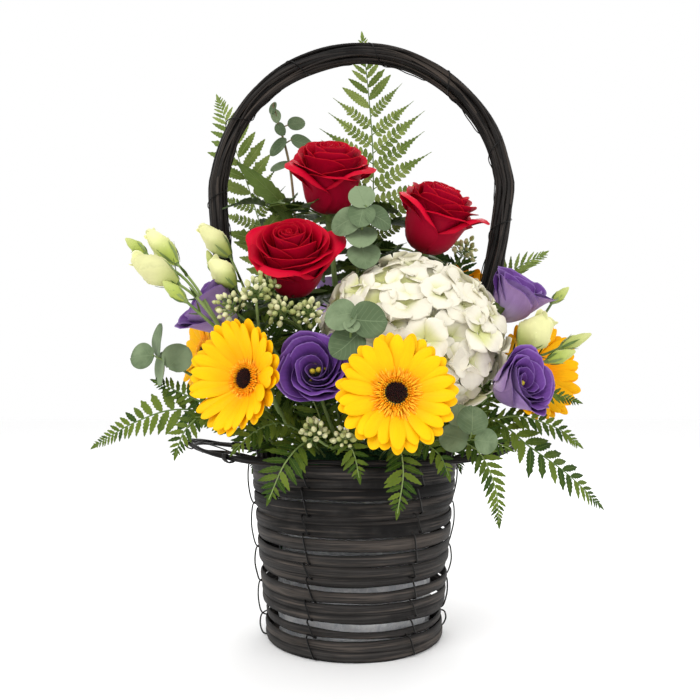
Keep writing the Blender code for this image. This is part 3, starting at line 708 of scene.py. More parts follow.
class Shape:
    """A mesh in the making, in millimetres, with the random source of its frame node.

    Each corner carries a surface place and a tone. On a sheet the surface place is (across -1..1,
    along 0..1, side), and on a tube it is (cosine, sine, millimetres along). The tone is one number
    for each petal, leaf or strand, drawn where none is given, so that no two look alike. The first
    finish is the piece's own, and a plant's second is its stem's.
    """

    def __init__(self, node: str, *finishes: Finish) -> None:
        """Start an empty mesh.

        Args:
            node: Frame node that it stands for.
            finishes: Finishes that it wears.
        """
        self.node, self.finishes = node, finishes
        self.rng = np.random.default_rng(zlib.crc32(node.encode()))
        self.points: list[Array] = []
        self.surface: list[Array] = []
        self.tone: list[Array] = []
        self.faces: list[Array] = []
        self.slots: list[Array] = []
        self.size = 0

    def wander(self, along: Array, reach: float, pitch: float, waves: int = 4) -> Array:
        """Make a smooth irregular wave.

        Args:
            along: Positions at which the wave is wanted.
            reach: Rough height of the wave.
            pitch: Length of its longest swing.
            waves: Number of sines that are added up.

        Returns:
            The wave's height at each position.
        """
        total = np.zeros_like(along, dtype=float)
        for wave in range(1, waves + 1):
            rate = math.tau / pitch * wave * self.rng.uniform(0.75, 1.25)
            total += np.sin(along * rate + self.rng.uniform(0, math.tau)) / wave
        return total * reach / 1.6

    def add(self, points: Array, faces: Array, surface: Array, finish: Finish | None,
            tone: float | None) -> None:
        """Add corners with their faces.

        Args:
            points: Corner places.
            faces: Four corner numbers to a face; a triangle repeats its last.
            surface: Surface place of each corner.
            finish: Its finish, or nothing for the piece's own.
            tone: Tone of the whole addition, or nothing to draw one.
        """
        self.points.append(points)
        self.surface.append(surface)
        self.tone.append(np.full(len(points), self.rng.uniform() if tone is None else tone))
        self.faces.append(faces + self.size)
        self.slots.append(np.full(len(faces), self.finishes.index(finish) if finish else 0))
        self.size += len(points)

    def sheet(self, grid: Array, thickness: float, finish: Finish | None = None, tone: float | None = None,
              surface: Array | None = None, edge: float = 0.4) -> None:
        """Add a thin closed sheet, such as a petal, a leaf or a splint.

        Args:
            grid: Points of its middle layer, rows along and columns across.
            thickness: Thickness at its middle.
            finish: Its finish.
            tone: Its tone.
            surface: Surface places to use in place of the usual ones.
            edge: Share of the thickness that is left at the edge.
        """
        rows, columns = grid.shape[:2]
        normal = unit(np.cross(np.gradient(grid, axis=1), np.gradient(grid, axis=0)))
        half = np.full((rows, columns), 0.5 * thickness)
        for border in (half[0], half[-1], half[:, 0], half[:, -1]):
            border[...] = 0.5 * thickness * edge
        offset = normal * half[..., None]
        if surface is None:
            across, along = np.meshgrid(np.linspace(-1, 1, columns), np.linspace(0, 1, rows))
            surface = np.stack([across, along, np.ones_like(along)], axis=-1)
        back = surface * np.array([1.0, 1.0, -1.0])
        count = rows * columns
        faces = grid_faces(rows, columns)
        number = np.arange(count).reshape(rows, columns)
        border = np.concatenate([number[0, :-1], number[:-1, -1], number[-1, :0:-1], number[:0:-1, 0]])
        following = np.roll(border, -1)
        rim = np.column_stack([following, border, border + count, following + count])
        self.add(np.vstack([(grid + offset).reshape(-1, 3), (grid - offset).reshape(-1, 3)]),
                 np.vstack([faces, faces[:, ::-1] + count, rim]),
                 np.vstack([surface.reshape(-1, 3), back.reshape(-1, 3)]), finish, tone)

    def rings(self, rings: Array, ends: Array | None = None, finish: Finish | None = None,
              tone: float | None = None, surface: Array | None = None) -> None:
        """Add a skin over rings of points.

        Args:
            rings: Points, ring by ring.
            ends: The two points on which its ends close, or nothing where the rings join up.
            finish: Its finish.
            tone: Its tone.
            surface: Surface place of each point, or nothing where its finish needs none.
        """
        rows, sides = rings.shape[:2]
        points = rings.reshape(-1, 3)
        surface = np.zeros_like(points) if surface is None else surface.reshape(-1, 3)
        faces = grid_faces(rows, sides, ends is None, True)
        if ends is not None:
            ring = np.arange(sides)
            last = (rows - 1) * sides + ring
            start, end = np.full((2, sides), len(points)) + [[0], [1]]
            points = np.vstack([points, ends])
            surface = np.vstack([surface, surface[:1], surface[-1:]])
            faces = np.vstack([faces, np.column_stack([np.roll(ring, -1), ring, start, start]),
                               np.column_stack([last, np.roll(last, -1), end, end])])
        self.add(points, faces, surface, finish, tone)

    def tube(self, route: Array, radii: Array | float, sides: int, finish: Finish | None = None,
             tone: float | None = None, swell: Array | float = 1.0, closed: bool = False,
             surface: Array | None = None) -> None:
        """Add a closed round body along a route.

        Args:
            route: Middle line.
            radii: Radius at each point, or one for all.
            sides: Number of sides.
            finish: Its finish.
            tone: Its tone.
            swell: Factor on the radius for each point and side.
            closed: Whether the route joins up with itself.
            surface: Surface place for each point and side, in place of the usual ones.
        """
        rows = len(route)
        first, second = carried(route, closed)
        angle = np.arange(sides) / sides * math.tau
        reach = np.broadcast_to(radii, (rows,))[:, None] * np.ones((rows, sides)) * swell
        spoke = first[:, None] * np.cos(angle)[:, None] + second[:, None] * np.sin(angle)[:, None]
        if surface is None:
            surface = np.stack([np.tile(np.cos(angle), (rows, 1)), np.tile(np.sin(angle), (rows, 1)),
                                np.repeat(travelled(route)[:, None], sides, axis=1)], axis=-1)
        self.rings(route[:, None] + spoke * reach[..., None], None if closed else route[[0, -1]],
                   finish, tone, surface)

    def bead(self, centre: Array, axis: Array, radius: float, length: float, finish: Finish | None = None,
             sides: int = 7, point: float = 0.0, rings: int = 5, tone: float | None = None) -> None:
        """Add an egg-shaped bead.

        Args:
            centre: Middle of the bead.
            axis: Its long direction.
            radius: Largest radius.
            length: Full length.
            finish: Its finish.
            sides: Number of sides.
            point: How far the far end is drawn to a point, from 0 to 1.
            rings: Number of rings along it.
            tone: Its tone.
        """
        turn = np.linspace(0.2, math.pi - 0.2, rings)
        route = centre + unit(axis) * (-np.cos(turn)[:, None] * length * 0.5)
        radii = radius * np.sin(turn) * (1.0 - point * smoothstep(1.5, 3.0, turn))
        self.tube(route, radii, sides, finish, tone)

    def publish(self, name: str, sharp: float = 55.0) -> None:
        """Turn the gathered faces into an object that stands for the frame node.

        Args:
            name: Name of the piece.
            sharp: Angle between faces, in degrees, past which an edge stays sharp.
        """
        points = np.vstack(self.points) * MM
        faces = np.vstack(self.faces)
        keep = np.ones(faces.shape, dtype=bool)
        keep[:, 3] = faces[:, 2] != faces[:, 3]
        starts = np.concatenate([[0], np.cumsum(keep.sum(axis=1))[:-1]])
        mesh = bpy.data.meshes.new(name)
        mesh.vertices.add(len(points))
        mesh.vertices.foreach_set("co", points.ravel())
        mesh.loops.add(int(keep.sum()))
        mesh.loops.foreach_set("vertex_index", faces[keep].astype(np.int32))
        mesh.polygons.add(len(faces))
        mesh.polygons.foreach_set("loop_start", starts.astype(np.int32))
        mesh.polygons.foreach_set("material_index", np.concatenate(self.slots).astype(np.int32))
        mesh.update(calc_edges=True)
        mesh.shade_smooth()
        mesh.set_sharp_from_angle(angle=math.radians(sharp))
        place = mesh.attributes.new("surface", "FLOAT_VECTOR", "POINT")
        place.data.foreach_set("vector", np.vstack(self.surface).ravel())
        tone = mesh.attributes.new("tone", "FLOAT", "POINT")
        tone.data.foreach_set("value", np.concatenate(self.tone))
        for finish in self.finishes:
            mesh.materials.append(material(finish))
        piece = bpy.data.objects.new(name, mesh)
        bpy.context.scene.collection.objects.link(piece)
        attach(piece, BODY)
        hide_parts(self.node)
        LOG.info("%s: %d faces for %s", name, len(faces), self.node)


@dataclass(frozen=True)
class Petal:
    """One kind of petal on a cupped flower.

    The rise is the petal's slope from the horizontal, in degrees, at its foot, a third of the way up,
    near its shoulder and at its lip. Lean moves one edge inside and the other outside, so that the
    petals of a whorl lap like a pinwheel. The corner is how much lower the lip's corners lie. The
    points are their number along and across.
    """

    count: int
    foot: float
    sink: float
    length: float
    half_width: float
    rise: tuple[float, float, float, float]
    lean: float = 0.8
    ruffle: float = 0.0
    twist: float = 0.0
    curl: float = 0.5
    corner: float = 0.12
    thickness: float = 0.45
    taper: float = 0.3
    points: tuple[int, int] = (15, 15)

    def grid(self, turn: float, rng: np.random.Generator) -> Array:
        """Shape one petal round the flower's own axis.

        Args:
            turn: Direction of the petal, in radians.
            rng: Random source.

        Returns:
            Points of the petal's middle layer, its front inward, with the flower's axis along Z.
        """
        across = np.sin(np.linspace(-0.5, 0.5, self.points[1]) * math.pi)[None, :]
        along = np.linspace(0.0, 1.0, self.points[0])[:, None] ** 0.85
        fine = np.linspace(0.0, 1.15, 61)
        slope = np.interp(fine, (0.0, 0.35, 0.75, 1.0), np.array(self.rise) + rng.normal(0.0, 2.5, 4))
        slope = np.radians(np.convolve(np.pad(slope, 5, mode="edge"), np.ones(11) / 11, mode="valid"))
        reached = along * (1.0 - self.corner * np.abs(across) ** 3.2 + 0.02 * rng.normal() * across)
        step = self.length * (fine[1] - fine[0])
        out = self.foot + np.concatenate([[0.0], np.cumsum(np.cos(slope))[:-1]]) * step
        up = self.sink + np.concatenate([[0.0], np.cumsum(np.sin(slope))[:-1]]) * step
        lip = smoothstep(0.6, 1.0, along) * smoothstep(0.35, 1.0, np.abs(across)) * self.curl
        radius = np.interp(reached, fine, out) + lip * self.length * 0.07
        height = np.interp(reached, fine, up) - lip * self.length * 0.07
        phase = rng.uniform(0.0, math.tau)
        wave = np.sin(across * rng.uniform(2.5, 4.5) + phase) + 0.5 * np.sin(across * 8.0 + 2.3 * phase)
        radius = radius + self.ruffle * wave * along ** 2
        height = height + 0.6 * self.ruffle * np.sin(across * 5.0 + phase * 1.7) * along ** 3
        radius = radius + self.lean * across * (0.3 + along)
        width = self.half_width * (0.34 + 0.66 * smoothstep(0.0, 0.62, along))
        width = width * np.sqrt(1.0 - self.taper * smoothstep(0.6, 1.0, along) ** 2)
        angle = turn + across * width / np.maximum(radius, 0.28 * self.half_width) + self.twist * along
        return np.stack([radius * np.cos(angle), radius * np.sin(angle), height], axis=-1)[:, ::-1]


def box_mm(node: str) -> tuple[Array, Array]:
    """Give a frame node's lowest and highest corner in millimetres."""
    low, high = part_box(node)
    return np.array(low) / MM, np.array(high) / MM


@dataclass
class Basket:
    """The splint basket: wall hoops, base board, wire lacing, brim and handle.

    Each inner hoop is given with the share of its height that its splints take up, from below. The
    stitches of the lacing start at the stitch heights, and the handle's feet are given by their
    distance from its middle and their height. Angles and turns of the brim are in degrees.
    """

    splint_thickness: float = 1.3
    splint_width: float = 8.0
    steps: int = 150
    board_width: float = 11.0
    lacing_angles: tuple[float, ...] = (-57.0, 3.0, 63.0, 123.0, 183.0, 243.0)
    lacing_radius: float = 0.62
    stitch_heights: tuple[float, ...] = (136.0, 122.0, 102.6, 89.0, 68.8, 58.0, 42.6, 29.0, 16.5, 1.2)
    lowest_wire: float = 0.9
    brim_radius: float = 3.2
    strap_points: int = 26
    strap_thickness: float = 0.9
    strap_turns: tuple[float, ...] = (-38.0, 12.0, 46.0, 142.0, 192.0, 226.0)
    spoke_turns: tuple[float, ...] = (-60.0, -22.0, 30.0, 60.0, 120.0, 158.0, 210.0, 240.0)
    binding_turns: float = 11.5
    binding_radius: float = 0.42
    feet: tuple[tuple[float, float], ...] = ((68.5, 118.0), (69.0, 138.0), (75.5, 165.0), (91.0, 225.0),
                                             (105.0, 285.0))
    outer_hoops: tuple[str, ...] = ("hoop_rim", "hoop_2", "hoop_3", "hoop_4", "hoop_5", "hoop_6", "hoop_7",
                                    "hoop_8", "hoop_base")
    inner_hoops: tuple[tuple[str, float], ...] = (("inner_hoop_upper", 1.0), ("inner_hoop_middle", 0.9),
                                                  ("inner_hoop_lower", 0.42))
    inner_inset: float = 2.0
    rim_radius: float = field(init=False)
    rim_height: float = field(init=False)
    slope: float = field(init=False)

    def __post_init__(self) -> None:
        """Read the wall's taper from the frame."""
        rim, foot = box_mm("hoop_rim")[1], box_mm("hoop_base")[1]
        self.rim_radius, self.rim_height = rim[0], rim[2]
        self.slope = (rim[0] - foot[0]) / (rim[2] - foot[2])

    def wall(self, height: Array | float) -> Array | float:
        """Give the wall's outer radius at a height."""
        return self.rim_radius - (self.rim_height - height) * self.slope

    def strip(self, shape: Shape, low: float, high: float, inset: float, tilt: tuple[float, float]) -> None:
        """Add one splint that runs round the wall and laps over itself.

        Args:
            shape: Mesh to add to.
            low: Height of its lower edge.
            high: Height of its upper edge.
            inset: How far its outer face lies inside the wall.
            tilt: How far it runs up and down round the wall, and where it is highest.
        """
        columns = 8
        start, sweep = shape.rng.uniform(0.6, 2.6), math.tau + shape.rng.uniform(0.25, 0.6)
        share = np.linspace(0.0, 1.0, self.steps)
        turn = start + share * sweep
        arc = share * sweep * self.rim_radius
        slant = tilt[0] * np.cos(turn - tilt[1]) * smoothstep(2.0, 14.0, low)
        slant = slant * smoothstep(1.0, 12.0, self.rim_height - high)
        lower = low + slant + shape.wander(arc, 0.7, 260.0, 5)
        upper = high + slant + shape.wander(arc, 0.7, 240.0, 5)
        cut = np.minimum(share, 1.0 - share) * sweep * self.rim_radius
        lower = lower + 1.5 * (1.0 - smoothstep(0.0, 5.0, cut))
        across = np.linspace(0.0, 1.0, columns)
        height = lower[:, None] + (upper - lower)[:, None] * across
        lap = (sweep - math.tau) / sweep
        lift = self.splint_thickness * (smoothstep(1.0 - lap - 0.04, 1.0 - lap * 0.4, share)
                                        - smoothstep(lap + 0.04, lap * 0.4, share)) * 0.5
        warp = shape.wander(arc, 0.35, 150.0, 5) + 0.5 * (1.0 - smoothstep(0.0, 9.0, cut))
        fibre = np.array([shape.wander(arc, 0.13, 40.0) for _ in range(columns)]).T
        cup = -0.7 * (across * 2.0 - 1.0) ** 2
        radius = (self.wall(height) - inset - 0.5 * self.splint_thickness + (lift + warp)[:, None] + fibre
                  + cup)
        grid = np.stack([radius * np.cos(turn)[:, None], radius * np.sin(turn)[:, None], height], axis=-1)
        surface = np.stack([np.repeat(arc[:, None], columns, axis=1), height - low,
                            np.tile(across * 2.0 - 1.0, (self.steps, 1))], axis=-1)
        shape.sheet(grid, self.splint_thickness, surface=surface, edge=0.55)

    def hoop(self, node: str, inset: float = 0.0, fill: float = 1.0) -> None:
        """Build one band of the wall from one to three splints.

        Args:
            node: Frame node of the band.
            inset: How far it lies inside the outer wall.
            fill: Share of the band's height that its splints take up, from below.
        """
        low, high = box_mm(node)
        bottom, top = low[2], low[2] + (high[2] - low[2]) * fill
        shape = Shape(node, Finish.SPLINT)
        draw = shape.rng.uniform
        parts = max(1, round((top - bottom) / self.splint_width))
        tilt = (1.3 + 0.6 * math.sin(bottom * 0.09), 0.5 * math.pi + 0.8 * math.sin(bottom * 0.035 + 0.4))
        for part in range(parts):
            lower = bottom + (top - bottom) * part / parts - (1.1 if part else 0.0)
            upper = bottom + (top - bottom) * (part + 1) / parts + (0.3 if part < parts - 1 else 0.0)
            layer = inset + 0.45 * (part % 2) + draw(-0.15, 0.2)
            own = (tilt[0] + draw(-0.2, 0.2), tilt[1] + draw(-0.25, 0.25))
            self.strip(shape, max(lower, 0.9), min(upper, self.rim_height - 0.4), layer, own)
        shape.publish(f"{node}_splints", sharp=40.0)

    def base_board(self) -> None:
        """Build the bottom from flat splints laid side by side and trimmed round."""
        low, high = box_mm("base_board")
        radius, thickness = high[0] - 0.6, high[2] - low[2]
        shape = Shape("base_board", Finish.SPLINT)
        count = math.ceil(2 * radius / self.board_width)
        for board in range(count):
            left = -radius + board * 2 * radius / count + 0.2
            right = -radius + (board + 1) * 2 * radius / count - 0.2
            across = np.linspace(left, right, 6)
            run = np.linspace(-1.0, 1.0, 24)[:, None] * np.sqrt(np.maximum(radius ** 2 - across ** 2, 9.0))
            fibre = np.array([shape.wander(np.linspace(-1.0, 1.0, 24) * 60.0, 0.1, 30.0) for _ in across]).T
            places = np.tile(across, (24, 1))
            grid = np.stack([places, run, 0.5 * thickness - 0.1 * (board % 2) + fibre], axis=-1)
            surface = np.stack([run, places - left, np.tile(np.linspace(-1, 1, 6), (24, 1))], axis=-1)
            shape.sheet(grid, thickness - 1.0, surface=surface, edge=0.7)
        rim = np.linspace(0, math.tau, 90, endpoint=False)
        route = np.column_stack([np.cos(rim) * radius, np.sin(rim) * radius, np.full(90, 0.5 * thickness)])
        shape.tube(route, 0.48 * thickness, 8, tone=0.3, closed=True)
        shape.publish("base_splints", sharp=40.0)

    def lacing(self, number: int) -> None:
        """Build one column of wire stitches, which are longer at the sides.

        Args:
            number: The column, counted from 1.
        """
        shape = Shape(f"lacing_{number}", Finish.WIRE)
        draw = shape.rng.uniform
        angle = math.radians(self.lacing_angles[number - 1])
        long = abs(math.cos(angle)) > 0.9
        stops = [height + draw(-0.4, 0.4) for height in self.stitch_heights]
        if long:
            stops = stops[::2] + stops[-1:]
        lift = self.lacing_radius + 0.9
        route = []
        drift = 0.0
        for upper, lower in zip(stops, stops[1:]):
            slant = draw(3.2, 6.0)
            bulge = draw(1.6, 3.0) if long else draw(0.1, 0.5)
            route += [(drift - 0.6, upper + 0.6, -2.2), (drift, upper - 0.8, lift - 0.3)]
            route += [(drift + slant * share, upper + (lower - upper) * share,
                       lift + bulge * math.sin(math.pi * share) + draw(-0.1, 0.2))
                      for share in (0.2, 0.5, 0.8)]
            route += [(drift + slant, lower + 0.9, lift - 0.2), (drift + slant - 0.5, lower - 0.5, -2.2)]
            drift = draw(-1.2, 0.8)
        points = [polar(angle + across / (self.wall(height) + out), self.wall(height) + out,
                        max(height, self.lowest_wire)) for across, height, out in route]
        shape.tube(smooth_route(points, 4), self.lacing_radius, 6)
        shape.publish(f"lacing_wire_{number}")

    def strands(self, shape: Shape, route: Array, count: int, ring: float, radius: float, twist: float,
                closed: bool = False, sides: int = 6) -> None:
        """Lay vine strands round a middle line.

        Args:
            shape: Mesh to add to.
            route: Middle line.
            count: Number of strands.
            ring: Distance of the strands from the middle line.
            radius: Mean radius of a strand.
            twist: Turns that the strands make along the route.
            closed: Whether the route is a loop.
            sides: Number of sides of a strand.
        """
        draw = shape.rng.uniform
        first, second = carried(route, closed)
        share = np.linspace(0.0, 1.0, len(route), endpoint=not closed)
        for strand in range(count):
            if closed:
                loops = shape.rng.integers(2, 5)
                sway = 0.45 * np.sin(share * math.tau * loops + draw(0, math.tau))
                ripple = 0.25 * np.sin(share * math.tau * (loops + 1) + draw(0, math.tau))
            else:
                sway, ripple = shape.wander(share, 0.5, 0.7, 5), shape.wander(share, 0.3, 0.33)
            turn = math.tau * (strand / count + twist * share) + sway
            reach = ring * (1.0 + 0.55 * ripple)
            size = radius * draw(0.75, 1.25) * (1.0 + 0.12 * np.sin(share * 40.0 + strand))
            path = route + first * (np.cos(turn) * reach)[:, None] + second * (np.sin(turn) * reach)[:, None]
            shape.tube(path, size, sides, closed=closed)

    def handle(self) -> None:
        """Build the arched handle of bundled vines, its feet inside the rim, and its winding."""
        low, high = box_mm("handle")
        thick = 0.5 * (high[1] - low[1])
        arch = 0.5 * (high[0] - low[0]) - thick
        centre_x = 0.5 * (high[0] + low[0])
        centre_z = high[2] - thick - arch
        foot = self.feet[0][1]
        lean = centre_x / (centre_z - foot)
        left = [(-x + lean * (z - foot), 0.0, z) for x, z in self.feet]
        right = [(x + lean * (z - foot), 0.0, z) for x, z in reversed(self.feet)]
        over = [(centre_x - arch * math.cos(turn), 0.0, centre_z + arch * math.sin(turn))
                for turn in np.linspace(0.0, math.pi, 19)]
        route = along_route(smooth_route(left + over + right, 8), 150)
        shape = Shape("handle", Finish.VINE)
        shape.tube(route, thick - 2.6, 10, tone=0.2)
        self.strands(shape, route, count=16, ring=thick - 2.0, radius=1.6, twist=0.85)
        self.strands(shape, route, count=6, ring=thick - 1.0, radius=1.0, twist=-0.55, sides=5)
        shape.publish("handle_vines", sharp=80.0)
        self.binding(route[8:-8], thick, shape.rng)

    def binding(self, route: Array, thick: float, rng: np.random.Generator) -> None:
        """Build the wire that winds round the handle.

        Args:
            route: The handle's middle line where the wire runs.
            thick: Radius of the handle.
            rng: The handle's random source.
        """
        shape = Shape("handle_binding", Finish.WIRE)
        shape.rng = rng
        fine = np.linspace(0.0, 1.0, 460)
        spin = fine * math.tau * self.binding_turns
        spin = spin + 1.6 * np.sin(spin + 1.0)
        reach = thick + 0.45 + shape.wander(fine, 0.25, 0.11, 3)
        middle, one, two = (between(fine * (len(route) - 1), np.arange(len(route)), part)
                            for part in (route, *carried(route)))
        path = middle + one * (np.cos(spin) * reach)[:, None] + two * (np.sin(spin) * reach)[:, None]
        shape.tube(path, self.binding_radius, 5, tone=0.4)
        shape.publish("handle_wire")

    def collar(self, cosine: Array | float, sine: Array | float) -> Array:
        """Give points of the brim's middle line.

        Args:
            cosine: Cosine of each point's direction.
            sine: Sine of each point's direction.

        Returns:
            The points.
        """
        low, high = box_mm("brim")
        thick = self.brim_radius
        base, rise = low[2] + thick - 2.0, high[2] - low[2] - 2 * thick + 2.0
        return np.stack([(high[0] - thick) * cosine, (high[1] - thick) * sine, base + rise * cosine ** 4],
                        axis=-1)

    def brim(self) -> None:
        """Build the oval collar of vines with the splints that carry it."""
        shape = Shape("brim", Finish.VINE)
        draw = shape.rng.uniform
        turn = np.linspace(0.0, math.tau, 150, endpoint=False)
        route = self.collar(np.cos(turn), np.sin(turn))
        self.strands(shape, route + UP * 0.8, count=3, ring=0.8, radius=1.05, twist=6.0, closed=True, sides=7)
        self.strands(shape, route * np.array([0.975, 0.97, 1.0]) - UP * 1.4, count=1, ring=0.6, radius=1.1,
                     twist=-5.0, closed=True)
        for degrees in self.spoke_turns:
            angle = math.radians(degrees)
            end = self.collar(math.cos(angle), math.sin(angle))
            start = polar(angle, self.rim_radius - 2.0, self.rim_height + 1.5)
            middle = 0.5 * (start + end) + np.array([0.0, draw(-4, 4), draw(0.5, 3.0)])
            shape.tube(smooth_route([start, middle, end], 6), draw(1.0, 1.7), 6)
        for degrees in self.strap_turns:
            self.strap(shape, polar(math.radians(degrees)))
        shape.publish("brim_vines", sharp=80.0)

    def strap(self, shape: Shape, out: Array) -> None:
        """Add a flat splint that runs out from the rim and folds round the collar.

        Args:
            shape: Mesh to add to.
            out: Its direction.
        """
        count = self.strap_points
        end = self.collar(out[0], out[1])
        start = out * (self.rim_radius - 3.0) + UP * (self.rim_height - 4.0)
        middle = 0.5 * (start + end) + UP * shape.rng.uniform(2.0, 5.0)
        bends = [start, middle, end + UP * 3.2, end + out * 3.6, end - out * 1.0 - UP * 3.6,
                 end - out * 7.0 - UP * 1.5]
        route = along_route(smooth_route(bends, 6), count)
        side = np.cross(out, UP) + UP * 0.1 * shape.rng.normal()
        across = np.linspace(-1.0, 1.0, 5)
        half = shape.rng.uniform(1.7, 2.8) * (1.0 + shape.wander(np.linspace(0, 1, count), 0.12, 0.6))
        wide = half[:, None] * across
        along = np.tile(np.linspace(0.0, 1.0, count)[:, None] * 40.0, (1, 5))
        surface = np.stack([along, wide, np.tile(across, (count, 1))], axis=-1)
        shape.sheet(route[:, None] + side * wide[..., None], self.strap_thickness, surface=surface, edge=0.6)

    def build(self) -> None:
        """Build every piece of the basket."""
        for node in self.outer_hoops:
            self.hoop(node)
        for node, fill in self.inner_hoops:
            self.hoop(node, self.inner_inset, fill)
        self.base_board()
        for number in range(1, len(self.lacing_angles) + 1):
            self.lacing(number)
        self.handle()
        self.brim()


@dataclass
class Filling:
    """The clear liner and the floral foam inside it."""

    liner_rows: int = 38
    liner_sides: int = 120
    film: float = 0.4
    foam_rows: int = 54
    foam_sides: int = 72
    shoulder: float = 12.0
    creases: int = 26
    crease_depth: float = 0.7
    pit: float = 0.35

    def liner(self) -> None:
        """Build the creased film cup."""
        low, high = box_mm("liner")
        top_radius, bottom, top = high[0] - 0.3, low[2], high[2]
        shape = Shape("liner", Finish.FILM)
        share = np.linspace(0.0, 1.0, self.liner_rows)[:, None]
        turn = np.linspace(0.0, math.tau, self.liner_sides, endpoint=False)[None, :]
        crease = np.zeros((self.liner_rows, self.liner_sides))
        for _ in range(self.creases):
            around, up = shape.rng.integers(3, 22), shape.rng.uniform(-16.0, 16.0)
            phase = shape.rng.uniform(0, math.tau)
            crease += np.sin(turn * around + share * up * 2.0 + phase) * 5.0 / (around + 6)
        radius = top_radius - 1.0 + share - np.abs(crease) * self.crease_depth
        height = np.broadcast_to(bottom + (top - bottom) * share, radius.shape)
        side = np.stack([radius * np.cos(turn), radius * np.sin(turn), height], axis=-1)
        floor = side[:1] * np.array([1.0, 1.0, 0.0]) * np.linspace(0.02, 0.98, 8)[:, None, None] + UP * bottom
        outer = np.vstack([floor, side])
        inner = outer[::-1] * np.array([0.992, 0.992, 1.0])
        inner[:, :, 2] += np.where(inner[:, :, 2] < bottom + 0.2, self.film, 0.0)
        shape.rings(np.vstack([outer, inner]), spine(bottom, bottom + self.film), tone=0.5)
        shape.publish("liner_cup", sharp=70.0)

    def foam(self) -> None:
        """Build the foam block with its crumbled top."""
        low, high = box_mm("foam")
        radius, bottom, top = high[0], low[2], high[2]
        shape = Shape("foam", Finish.FOAM)
        profile = along_route(np.array([(0.6, 0.0, bottom), (radius - 1.0, 0.0, bottom),
                                        (radius, 0.0, bottom + 1.0), (radius, 0.0, top - self.shoulder),
                                        (radius - self.shoulder, 0.0, top), (0.6, 0.0, top)]), self.foam_rows)
        turn = np.arange(self.foam_sides) / self.foam_sides * math.tau
        dent = np.abs(shape.rng.normal(0.0, self.pit, (self.foam_rows, self.foam_sides)))
        dent[:, 0] = dent[:, -1]
        level = profile[:, 2][:, None]
        reach = profile[:, 0][:, None] - dent * 0.5
        points = np.stack([reach * np.cos(turn), reach * np.sin(turn), level - dent * (level > top - 14.0)],
                          axis=-1)
        shape.rings(points, spine(bottom, top), tone=0.5)
        shape.publish("foam_block", sharp=80.0)

    def build(self) -> None:
        """Build the liner and the foam."""
        self.liner()
        self.foam()


@dataclass(frozen=True)
class Head:
    """A flower head seated on its frame node.

    The reach is how far past the head's centre the node's highest ring lies, along the facing, and the
    foot is where the stem meets the flower. The flower is turned by the roll, scaled, and shifted.
    """

    node: str
    facing: Point
    stem: Route
    stem_radius: float
    reach: float
    foot: float
    scale: float = 1.0
    roll: float = 0.0
    shift: Point = (0.0, 0.0, 0.0)

    @cached_property
    def axis(self) -> Array:
        """Give the direction that the head faces."""
        return unit(np.array(self.facing))

    @cached_property
    def centre(self) -> Array:
        """Find the head's centre from the highest ring of its frame node.

        Returns:
            The centre in millimetres.
        """
        mesh = FRAME["nodes"][self.node].data
        places = np.empty(len(mesh.vertices) * 3)
        mesh.vertices.foreach_get("co", places)
        places = places.reshape(-1, 3) / MM
        height = places @ self.axis
        ring = np.unique(np.round(places[height > height.max() - 0.3], 2), axis=0)
        return ring.mean(axis=0) - self.axis * self.reach * self.scale + np.array(self.shift)

    def route(self) -> Array:
        """Give the stem's middle line, from its buried end to the head."""
        neck, joint = (self.centre + self.axis * (self.foot * self.scale + past) for past in (-6.0, 2.0))
        return smooth_route([*self.stem, neck, joint], 6)

    def seat(self, points: Array) -> Array:
        """Move points made round the flower's own axis, which is Z, onto the head."""
        return self.centre + (points * self.scale) @ basis(self.facing, self.roll)

    def placed(self, centre: Array, axis: Array) -> tuple[Array, Array]:
        """Move a bead's middle and direction onto the head."""
        place = self.seat(centre[None, :])[0]
        return place, self.seat((centre + axis)[None, :])[0] - place


def blade(foot: Array, direction: Array, length: float, width: float, facing: Array, droop: float = 0.2,
          fold: float = 0.25, teeth: int = 0, rows: int = 9, columns: int = 3, tip: float = 0.9,
          belly: float = 0.42, depth: float = 0.35) -> Array:
    """Shape a leaf blade.

    Args:
        foot: Where the blade starts.
        direction: Direction in which it starts.
        length: Its length.
        width: Its full width.
        facing: Direction that its upper side faces.
        droop: How far the tip sinks below the straight line, as a share of the length.
        fold: How far the two halves fold up along the midrib, as a share of the half width.
        teeth: Number of teeth along each edge.
        rows: Points along.
        columns: Points across.
        tip: Power that draws the end to a point; less is blunter.
        belly: Where it is widest, from foot to tip.
        depth: How deep the teeth are cut, as a share of the width.

    Returns:
        Points of the blade, rows along and columns across.
    """
    direction = unit(direction)
    side = unit(np.cross(direction, facing))
    up = np.cross(side, direction)
    along = np.linspace(0.0, 1.0, rows)
    middle = (foot[None, :] + direction * (along * length)[:, None]
              - up * (droop * length * along ** 2)[:, None])
    bell = (along / belly) ** 0.8 * np.exp(0.8 * (1.0 - along / belly)) * (1.0 - along ** 4) ** tip
    half = 0.5 * width * np.maximum(bell, 0.03)
    if teeth:
        half = half * (1.0 + depth * (((along * teeth) % 1.0) - 0.5) * (along < 0.97))
    across = np.linspace(-1.0, 1.0, columns)
    return (middle[:, None] + side * (half[:, None] * across)[..., None]
            + up * (np.abs(across) * half[:, None] * fold)[..., None])


